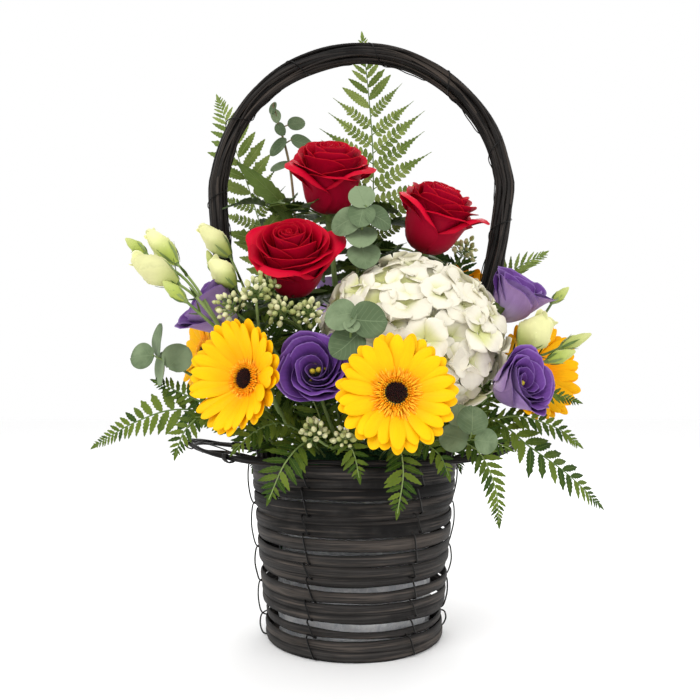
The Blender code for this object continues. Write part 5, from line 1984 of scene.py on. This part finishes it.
            out = rows[0] * math.cos(angle) + rows[1] * math.sin(angle)
            grid = blade(foot + out * 1.2, rows[2] + out * (0.34 + 0.2 * opened), length * draw(0.4, 0.62),
                         self.sepal_width, out, droop=-0.1, fold=0.2, rows=8)
            middle = grid.mean(axis=1)
            along = np.clip((middle - foot) @ rows[2] / length, 0, 1)
            limit = np.interp(along, share, profile) + 0.5
            away = np.linalg.norm(middle - foot - np.outer((middle - foot) @ rows[2], rows[2]), axis=1)
            grid = grid + (out * np.maximum(limit - away, 0.0)[:, None])[:, None]
            shape.sheet(grid, 0.35, Finish.STEM)
        shape.tube(np.array([foot - rows[2] * 2.0, foot, foot + rows[2] * 1.5]), np.array([1.1, 2.0, 2.4]), 8,
                   Finish.STEM, 0.5)

    def spray(self, node: str, stem: Route, buds: tuple[tuple[Route, Point, float, float], ...]) -> None:
        """Build a branching spray of buds.

        Args:
            node: Frame node of the spray.
            stem: Points of its main stem.
            buds: For each bud the points of its branch, its tip, its radius and how far it has opened.
        """
        shape = Shape(node, Finish.BUD, Finish.STEM, Finish.LEAF)
        route = smooth_route(stem, 6)
        self.stem(shape, route, self.spray_stem)
        for points, tip, radius, opened in buds:
            branch = smooth_route(points, 5)
            shape.tube(branch, np.linspace(1.15, self.branch_radius, len(branch)), 6, Finish.STEM)
            foot, end = np.array(points[-1], float), np.array(tip, float)
            self.bud(shape, foot, end, radius, opened)
            direction = unit(end - foot)
            out = unit(np.cross(direction, shape.rng.normal(0, 1, 3)))
            for sign in (-1, 1):
                grid = blade(branch[len(branch) // 2], direction + out * 0.7 * sign, self.leaflet_length,
                             self.leaflet_width, out * sign, droop=-0.1, fold=0.2)
                shape.sheet(grid, 0.4, Finish.LEAF)
        self.foliage(shape, route, (0.5, 0.8), 3, 28.0, 0.4)
        shape.publish(f"{node}_spray")

    def cluster(self, shape: Shape, foot: Array, tip: Array, size: Cluster) -> None:
        """Add a round cluster of stalked beads.

        Args:
            shape: Mesh to add to.
            foot: Where its stalks fork.
            tip: Its farthest point.
            size: Size of the cluster.
        """
        count, spread, leaf = size.value
        draw, normal = shape.rng.uniform, shape.rng.normal
        rows = basis(tip - foot)
        long = float(np.linalg.norm(tip - foot))
        for number in range(count):
            tilt = math.acos(1.0 - (number + 0.5) / count * 0.95)
            out = polar(number * GOLDEN_ANGLE, math.sin(tilt), math.cos(tilt))
            reach = draw(0.72, 1.0)
            centre = foot + (out * np.array([spread, spread, long * 0.95]) * reach) @ rows
            fork = foot + rows[2] * long * draw(0.0, 0.4)
            shape.tube(np.linspace(fork, centre, 3), 0.42, 5, Finish.STEM)
            wide = draw(1.35, 2.2)
            shape.bead(centre, centre - fork, wide, wide * 2.5, sides=8, point=0.35)
        for _ in range(3):
            out = unit(rows[0] * normal() + rows[1] * normal() + rows[2] * 0.4)
            shape.sheet(blade(foot, out, leaf, 4.0, rows[2], droop=0.1, fold=0.2), 0.4, Finish.LEAF)

    def skimmia(self, node: str, stem: Route, leaf: float,
                clusters: tuple[tuple[Route, Point, Cluster], ...]) -> None:
        """Build a sprig with clusters of beads.

        Args:
            node: Frame node of the sprig.
            stem: Points of its stem.
            leaf: Length of its leaves.
            clusters: For each cluster the points of its branch, its tip and its size.
        """
        shape = Shape(node, Finish.SKIMMIA, Finish.STEM, Finish.LEAF)
        route = smooth_route(stem, 6)
        self.stem(shape, route, self.skimmia_stem)
        self.foliage(shape, route, (0.4, 0.9), 11, leaf, 0.42)
        for points, tip, size in clusters:
            shape.tube(smooth_route(points, 5), self.branch_radius, 6, Finish.STEM)
            self.cluster(shape, np.array(points[-1], float), np.array(tip, float), size)
        shape.publish(f"{node}_sprig")

    def round_leaf(self, shape: Shape, stem: Array, centre: Array, facing: Array, radius: float,
                   oval: float) -> None:
        """Add one round eucalyptus leaf.

        Args:
            shape: Mesh to add to.
            stem: Nearest point of the stem.
            centre: Middle of the leaf.
            facing: Direction that it faces.
            radius: Its radius.
            oval: Length over width.
        """
        facing = unit(facing)
        away = centre - stem
        away = away - facing * (away @ facing)
        forward = unit(away) if np.linalg.norm(away) > 1.0 else basis(facing)[1]
        side = np.cross(forward, facing)
        along = np.linspace(-1.0, 1.0, 15)[:, None]
        across = np.linspace(-1.0, 1.0, 11)[None, :]
        half = np.sqrt(np.maximum(1.0 - along ** 2, 0.012)) * (1.0 - 0.10 * along) * radius
        notch = 0.13 * np.exp(-(across / 0.35) ** 2) * smoothstep(-0.6, -1.0, along)
        ahead = (along + notch) * radius * oval
        phase = shape.rng.uniform(0, math.tau)
        cup = (0.14 * (across * half) ** 2 / radius + 0.05 * radius * np.sin(along * 2.6 + phase)
               + 0.05 * radius * np.sin(across * 3.0 + along * 2.0 + phase))
        grid = (centre + forward * ahead[..., None] + side * (across * half)[..., None]
                + facing * cup[..., None])
        shape.sheet(grid, 0.5, edge=0.6)
        base = centre - forward * radius * oval * 0.9
        shape.tube(np.linspace(stem, base, 3), 0.55, 5, shape.finishes[1], 0.5)

    def eucalyptus(self, node: str, stem: Route, leaves: tuple[tuple[Point, Point, float], ...],
                   oval: float = 1.0, twig: Finish = Finish.STEM) -> None:
        """Build a sprig of round leaves.

        Args:
            node: Frame node of the sprig.
            stem: Points of its stem.
            leaves: Middle, facing and radius of each leaf.
            oval: Length over width of a leaf.
            twig: Finish of the stem.
        """
        shape = Shape(node, Finish.EUCALYPTUS, twig)
        route = smooth_route(stem, 8)
        self.stem(shape, route, self.eucalyptus_stem)
        for centre, facing, radius in leaves:
            middle = np.array(centre, float)
            near = route[int(np.argmin(np.linalg.norm(route - middle, axis=1)))]
            self.round_leaf(shape, near, middle, np.array(facing, float), radius, oval)
        shape.publish(f"{node}_sprig")

    def build(self) -> None:
        """Build every spray and sprig."""
        for make, sprigs in ((self.spray, self.sprays), (self.skimmia, self.skimmias),
                             (self.eucalyptus, self.eucalypts)):
            for sprig in sprigs:
                make(*sprig)


class Division(Enum):
    """How a fern frond is divided."""

    ONCE = 1
    TWICE = 2


@dataclass(frozen=True)
class Frond:
    """One fern frond: its middle line, how far its leaflets reach at each point of it, and its facing.

    The pitch is the largest distance from one pair of leaflets to the next, the lean is their angle to
    the middle line in degrees, and the start is where they start. A finish may replace the plant's own.
    """

    middle: Route
    reach: tuple[float, ...]
    facing: Point = (0, -1, 0.2)
    pitch: float = 5.8
    lean: float = 58.0
    start: float = 0.0
    division: Division = Division.ONCE
    finish: Finish | None = None


@dataclass
class Ferns(Plants):
    """Fern fronds and the broad leaf among them, each plant with its finish and its fronds.

    In a frond that is divided twice, a leaflet past the longest is divided into pinnules.
    """

    plants: tuple[tuple[str, Finish, tuple[Frond, ...]], ...] = (
        ("fern_top", Finish.FERN_LIGHT, (
            Frond(((4, 18, 110), (5, 20, 149), (10, 36, 260), (16, 40, 340), (16, 34, 390), (12, 24, 435),
                   (7, 17, 476)), (1.2, 1.2, 12, 54, 42, 15, 2), (0, -1, 0), 14.5, start=150,
                  division=Division.TWICE),)),
        ("fern_top_left", Finish.FERN_LIGHT, (
            Frond(((-20, 16, 110), (-26, 24, 149), (-58, 30, 260), (-78, 24, 330), (-94, 20, 380),
                   (-110, 18, 426)), (1.2, 1.2, 14, 32, 20, 2), (0, -1, 0), 14, start=150,
                  division=Division.TWICE),)),
        ("fern_left", Finish.FERN, (
            Frond(((-38, -14, 120), (-54, -19, 143), (-92, -28, 168), (-131, -30, 175), (-165, -24, 165),
                   (-197, -18, 147)), (1.2, 1.2, 9, 19, 10, 2), (0, -0.95, 0.3), 9.2, 60),
            Frond(((-92, -28, 167), (-108, -42, 172), (-121, -50, 160), (-127, -52, 143)), (3, 10, 10, 2),
                  (0, -0.9, 0.4), 5),
            Frond(((-92, -30, 168), (-112, -32, 180), (-132, -32, 189), (-148, -30, 196)), (3, 10, 8, 2),
                  (0, -0.95, 0.3), 5.6),
            Frond(((-30, -14, 120), (-60, -30, 150), (-88, -44, 168), (-112, -56, 170)), (1.2, 13, 14, 2),
                  (0, -0.95, 0.3), 5.6))),
        ("fern_front_left", Finish.FERN, (
            Frond(((-14, -32, 122), (-22, -50, 143), (-33, -74, 153), (-46, -88, 140), (-56, -93, 117)),
                  (1.2, 1.2, 14, 16, 2), (0, -0.8, 0.6), 5.6, 66),
            Frond(((-12, -20, 118), (-20, -34, 150), (-28, -44, 178), (-40, -50, 198)), (1.2, 15, 17, 2)),
            Frond(((-8, -18, 118), (-9, -32, 150), (-16, -42, 190), (-32, -48, 236)), (1.2, 15, 17, 10)),
            Frond(((-22, -20, 118), (-42, -34, 150), (-58, -42, 174), (-78, -46, 190)), (1.2, 15, 16, 2)),
            Frond(((-20, -12, 120), (-40, -22, 162), (-55, -32, 204), (-66, -40, 240)), (1.2, 15, 18, 6),
                  pitch=6),
            Frond(((-16, -2, 120), (-28, -6, 162), (-40, -12, 206), (-48, -16, 252)), (1.2, 17, 20, 12),
                  pitch=5.2, lean=66),
            Frond(((-20, -4, 118), (-26, -6, 150), (-48, -8, 180), (-84, -16, 202)), (1.2, 12, 21, 8),
                  pitch=5, lean=70),
            Frond(((-10, -36, 130), (-14, -56, 150), (-10, -76, 157), (-1, -88, 148), (3, -92, 131)),
                  (1.2, 8, 13, 11, 2), (0, -0.8, 0.6), 5.2, 66),
            Frond(((-18, -34, 130), (-34, -54, 156), (-52, -70, 166), (-68, -80, 160), (-80, -84, 148)),
                  (1.2, 8, 13, 11, 2), (0, -0.8, 0.6), 5.2, 62))),
        ("fern_front", Finish.FERN, (
            Frond(((14, -34, 120), (19, -53, 142), (29, -78, 151), (32, -90, 134), (28, -93, 108)),
                  (1.2, 1.2, 13, 13, 2), (0, -0.8, 0.6), 5.2, 66),
            Frond(((18, -38, 128), (28, -58, 148), (42, -76, 154), (56, -86, 146), (62, -88, 132)),
                  (1.2, 8, 12, 10, 2), (0, -0.8, 0.6), 5.2, 66))),
        ("fern_front_right", Finish.FERN, (
            Frond(((30, -24, 122), (45, -36, 143), (64, -56, 155), (84, -72, 147), (95, -76, 124),
                   (98, -76, 99)), (1.2, 1.2, 11, 13, 9, 2), (0.2, -0.8, 0.6), 5.2),
            Frond(((26, -18, 122), (48, -30, 150), (70, -44, 168), (94, -54, 174)), (1.2, 14, 17, 2),
                  (0, -1, 0.3)),
            Frond(((30, -20, 122), (58, -40, 150), (84, -56, 158), (108, -62, 148)), (1.2, 12, 16, 2),
                  (0, -0.8, 0.6)))),
        ("fern_right", Finish.FERN, (
            Frond(((38, -4, 122), (55, -10, 143), (88, -22, 166), (110, -32, 163), (127, -37, 149),
                   (156, -37, 128), (182, -33, 104)), (1.2, 1.2, 8, 16, 19, 13, 2), (0, -0.7, 0.7), 8.4),
            Frond(((34, -6, 122), (62, -16, 150), (90, -26, 164), (118, -30, 170)), (1.2, 14, 17, 2),
                  (0, -1, 0.3), 6),
            Frond(((34, 0, 124), (64, -6, 158), (92, -12, 182), (118, -16, 200)), (1.2, 15, 18, 6),
                  (0, -1, 0.3), 5.4),
            Frond(((38, 4, 122), (60, 2, 160), (84, 0, 190), (104, -4, 226)), (1.2, 14, 20, 8),
                  pitch=5, lean=66),
            Frond(((70, -16, 160), (108, -26, 184), (140, -30, 188), (166, -30, 181)), (1.2, 10, 9, 2),
                  (0, -0.9, 0.5), 5.6),
            Frond(((80, -18, 162), (118, -30, 170), (148, -34, 162), (166, -34, 149)), (1.2, 12, 9, 2),
                  (0, -0.8, 0.6), 5.6))),
        ("fern_rear_left", Finish.FERN_SHADE, (
            Frond(((-22, 26, 112), (-28, 34, 148), (-50, 54, 196), (-76, 68, 240), (-98, 76, 278)),
                  (1.2, 1.2, 24, 28, 2), (-0.4, 0.85, 0.3), 8, division=Division.TWICE),
            Frond(((-36, 42, 165), (-60, 68, 168), (-80, 84, 152), (-92, 92, 118)), (2, 16, 17, 2),
                  (-0.2, 0.7, 0.7), 6),
            Frond(((-30, 36, 154), (-24, 60, 172), (-18, 84, 158), (-16, 95, 120)), (2, 14, 15, 2),
                  (0, 0.7, 0.7), 6))),
        ("fern_rear_right", Finish.FERN_SHADE, (
            Frond(((26, 34, 112), (33, 42, 148), (48, 64, 186), (58, 84, 208), (64, 96, 216)),
                  (1.2, 1.2, 16, 16, 2), (0.3, 0.75, -0.6), 6),
            Frond(((39, 50, 162), (62, 70, 168), (84, 84, 152), (98, 92, 118)), (2, 16, 17, 2),
                  (0.2, 0.7, 0.7), 6),
            Frond(((34, 43, 152), (28, 64, 170), (24, 85, 156), (22, 96, 122)), (2, 14, 15, 2),
                  (0, 0.7, 0.7), 6),
            Frond(((38, 50, 161), (92, 40, 214), (124, 18, 280), (152, 10, 299)), (2, 4, 11, 2),
                  pitch=5.5, start=90, lean=46, finish=Finish.FERN_LIGHT),
            Frond(((38, 50, 161), (60, 50, 220), (78, 44, 262), (92, 36, 298)), (2, 12, 17, 9), pitch=6))),
    )
    pinnules: int = 6
    longest_leaflet: float = 33.0
    shortest_leaflet: float = 2.6
    tooth: float = 2.7
    thickness: float = 0.35
    pinnule_thickness: float = 0.3
    broad_stem: Route = ((-26, 6, 108), (-34, 8, 149), (-46, 12, 260), (-50, 10, 318))
    broad_midrib: Route = ((-50, 10, 318), (-56, 9, 336), (-70, 7, 351), (-93, 5, 371))
    broad_facing: Point = (0.2, -0.9, 0.3)
    broad_half_width: float = 8.5

    def pinna(self, shape: Shape, foot: Array, direction: Array, facing: Array, length: float) -> None:
        """Add a side blade that is divided again.

        Args:
            shape: Mesh to add to.
            foot: Where it leaves the main stalk.
            direction: Direction in which it runs.
            facing: Direction that its upper side faces.
            length: Its length.
        """
        direction = unit(direction)
        side = unit(np.cross(direction, facing))
        up = np.cross(side, direction)
        share = np.linspace(0.0, 1.0, 9)
        bend = -up * (0.16 * length * share ** 2)[:, None]
        route = foot + direction * (share * length)[:, None] + bend
        shape.tube(route, np.linspace(0.5, 0.2, 9), 5, Finish.STEM)
        for number in range(self.pinnules):
            at = 0.07 + 0.085 * number
            point = foot + direction * at * length - up * 0.16 * length * at ** 2
            size = length * (0.15 - 0.05 * at)
            for sign in (-1.0, 1.0):
                run = direction * (0.5 + 0.5 * at) + side * sign
                grid = blade(point, run, size * shape.rng.uniform(0.9, 1.1), size * 0.62, up, droop=0.08,
                             fold=0.12, teeth=3, rows=7, tip=0.6, belly=0.45)
                shape.sheet(grid, self.pinnule_thickness)
        start = foot + direction * 0.5 * length - up * 0.04 * length
        grid = blade(start, direction - up * 0.18, length * 0.54, length * 0.17, up, droop=0.1, fold=0.12,
                     teeth=8, rows=17, tip=0.7, belly=0.16, depth=1.1)
        shape.sheet(grid, self.pinnule_thickness)

    def frond(self, shape: Shape, frond: Frond) -> None:
        """Add one frond.

        Args:
            shape: Mesh to add to.
            frond: The frond's line and reach.
        """
        draw, normal = shape.rng.uniform, shape.rng.normal
        twice = frond.division is Division.TWICE
        route = smooth_route(frond.middle, 8)
        length = float(stretches(route).sum())
        knots = travelled(route)[::8]
        count = max(12, int(length / 4))
        even = along_route(route, count)
        shape.tube(even, np.linspace(1.1, 0.35, count), 6, Finish.STEM)
        tangent = unit(np.gradient(even, axis=0))
        facing = np.array(frond.facing, float)
        distance = max(frond.start, float(knots[np.argmax(np.array(frond.reach) > 3.5)]) * 0.96)
        while distance < length - 2.0:
            share = distance / length
            point = between(share * (count - 1), np.arange(count), even)
            ahead = tangent[min(count - 1, int(share * (count - 1)))]
            side = unit(np.cross(ahead, facing))
            up = np.cross(side, ahead)
            lean = math.radians(frond.lean - 15.0 * float(smoothstep(0.6, 1.0, share)))
            size = max(float(np.interp(distance, knots, frond.reach)) / math.sin(lean), self.shortest_leaflet)
            step = min(frond.pitch, max(self.shortest_leaflet, (0.37 if twice else 0.44) * size))
            for sign in (-1.0, 1.0):
                jitter = normal(0.0, 0.05)
                run = ahead * (math.cos(lean) + jitter) + side * sign * math.sin(lean) + up * normal(0, 0.06)
                own = size * draw(0.93, 1.06)
                start = point + ahead * (step * 0.3 * sign)
                if twice and own > self.longest_leaflet:
                    self.pinna(shape, start, run, up, own)
                else:
                    teeth = max(3, round(own / self.tooth))
                    width = min(0.38 * own, 1.08 * step * math.sin(lean))
                    grid = blade(start, run, own, width, up, droop=0.12, fold=0.2, teeth=teeth,
                                 rows=teeth * 2 + 1, tip=0.75, depth=0.5)
                    shape.sheet(grid, self.thickness, frond.finish)
            distance += step
        grid = blade(even[-2], tangent[-1], 9.0, 3.4, facing, droop=0.1, fold=0.15, teeth=3, rows=7)
        shape.sheet(grid, self.thickness, frond.finish, 0.5)

    def broad_leaf(self) -> None:
        """Build the long leaf that leans out behind the roses."""
        shape = Shape("leaf_left", Finish.LEAF, Finish.STEM)
        stem = smooth_route(self.broad_stem, 6)
        self.stem(shape, stem, 1.3)
        rows = 37
        middle = along_route(smooth_route(self.broad_midrib, 6), rows)
        tangent = unit(np.gradient(middle, axis=0))
        side = unit(np.cross(tangent, np.array(self.broad_facing)))
        along = np.linspace(0.0, 1.0, rows)
        half = self.broad_half_width * np.sin(math.pi * np.clip(along * 0.97 + 0.03, 0, 1)) ** 0.8
        half = half * (1.0 + 0.24 * (((along * 12) % 1.0) - 0.5))
        across = np.linspace(-1, 1, 7)
        grid = (middle[:, None] + side[:, None] * (half[:, None] * across)[..., None]
                - np.cross(side, tangent)[:, None] * (np.abs(across) * half[:, None] * 0.22)[..., None])
        shape.sheet(grid, 0.6, tone=0.7)
        self.foliage(shape, stem, (0.3, 0.95), 9, 46.0, 0.44, 9)
        shape.publish("leaf_left_blade")

    def build(self) -> None:
        """Build every fern and the broad leaf."""
        for node, finish, fronds in self.plants:
            shape = Shape(node, finish, Finish.STEM, Finish.FERN_LIGHT)
            for frond in fronds:
                self.frond(shape, frond)
            shape.publish(f"{node}_frond")
        self.broad_leaf()


@dataclass
class Studio:
    """A pale floor, soft light and the camera.

    The eye is in millimetres. The reach of the floor and the places, sizes and target of the lamps are
    in metres, and their powers in watts.
    """

    eye: Point = (-3.0, -550.0, 182.0)
    lens: float = 36.0
    shift: float = 0.0714
    reach: float = 6.0
    target: Point = (0.0, 0.0, 0.22)
    lamps: tuple[tuple[str, Point, float, float], ...] = (
        ("key", (-0.9, -1.3, 1.5), 1.0, 15.0), ("fill", (1.3, -1.0, 0.9), 1.2, 5.0),
        ("back", (0.3, 1.4, 1.3), 1.2, 12.0))

    def floor(self) -> None:
        """Lay a plain pale floor."""
        mesh = bpy.data.meshes.new("floor")
        points = [(x * self.reach, y * self.reach, 0.0) for x, y in ((-1, -1), (1, -1), (1, 1), (-1, 1))]
        mesh.from_pydata(points, [], [(0, 1, 2, 3)])
        plane = bpy.data.objects.new("floor", mesh)
        bpy.context.scene.collection.objects.link(plane)
        coat("Pale floor", 0.8, Base_Color=(0.985, 0.985, 0.985, 1.0), Specular_IOR_Level=0.1)
        mesh.materials.append(bpy.data.materials["Pale floor"])

    def light(self) -> None:
        """Light the scene softly from the front, the sides and above."""
        world = bpy.data.worlds.new("Studio")
        world.use_nodes = True
        world.node_tree.nodes["Background"].inputs["Color"].default_value = (1.0, 1.0, 1.0, 1.0)
        world.node_tree.nodes["Background"].inputs["Strength"].default_value = 1.0
        bpy.context.scene.world = world
        for name, place, size, power in self.lamps:
            lamp = bpy.data.lights.new(name, "AREA")
            lamp.energy, lamp.size = power, size
            holder = bpy.data.objects.new(name, lamp)
            rows = basis(unit(np.array(place) - np.array(self.target)))
            holder.matrix_world = Matrix([[*rows[:, k], place[k]] for k in range(3)] + [[0, 0, 0, 1]])
            bpy.context.scene.collection.objects.link(holder)

    def camera(self) -> None:
        """Set the camera level with the basket's rim."""
        data = bpy.data.cameras.new("camera")
        data.sensor_width, data.lens, data.shift_y = 36.0, self.lens, self.shift
        data.clip_start = 0.01
        holder = bpy.data.objects.new("camera", data)
        holder.location = [part * MM for part in self.eye]
        holder.rotation_euler = (math.pi / 2, 0.0, 0.0)
        bpy.context.scene.collection.objects.link(holder)
        bpy.context.scene.camera = holder

    def build(self) -> None:
        """Set up the studio."""
        self.floor()
        self.light()
        self.camera()
        bpy.context.scene.view_settings.view_transform = "Standard"


def main() -> None:
    """Build the arrangement round its frame."""
    logging.basicConfig(level=logging.INFO, format="%(name)s %(message)s")
    FRAME.update(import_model())
    for kind in (Studio, Basket, Filling, Roses, Gerberas, Lisianthus, Hydrangea, Sprigs, Ferns):
        kind().build()


if __name__ == "__main__":
    main()
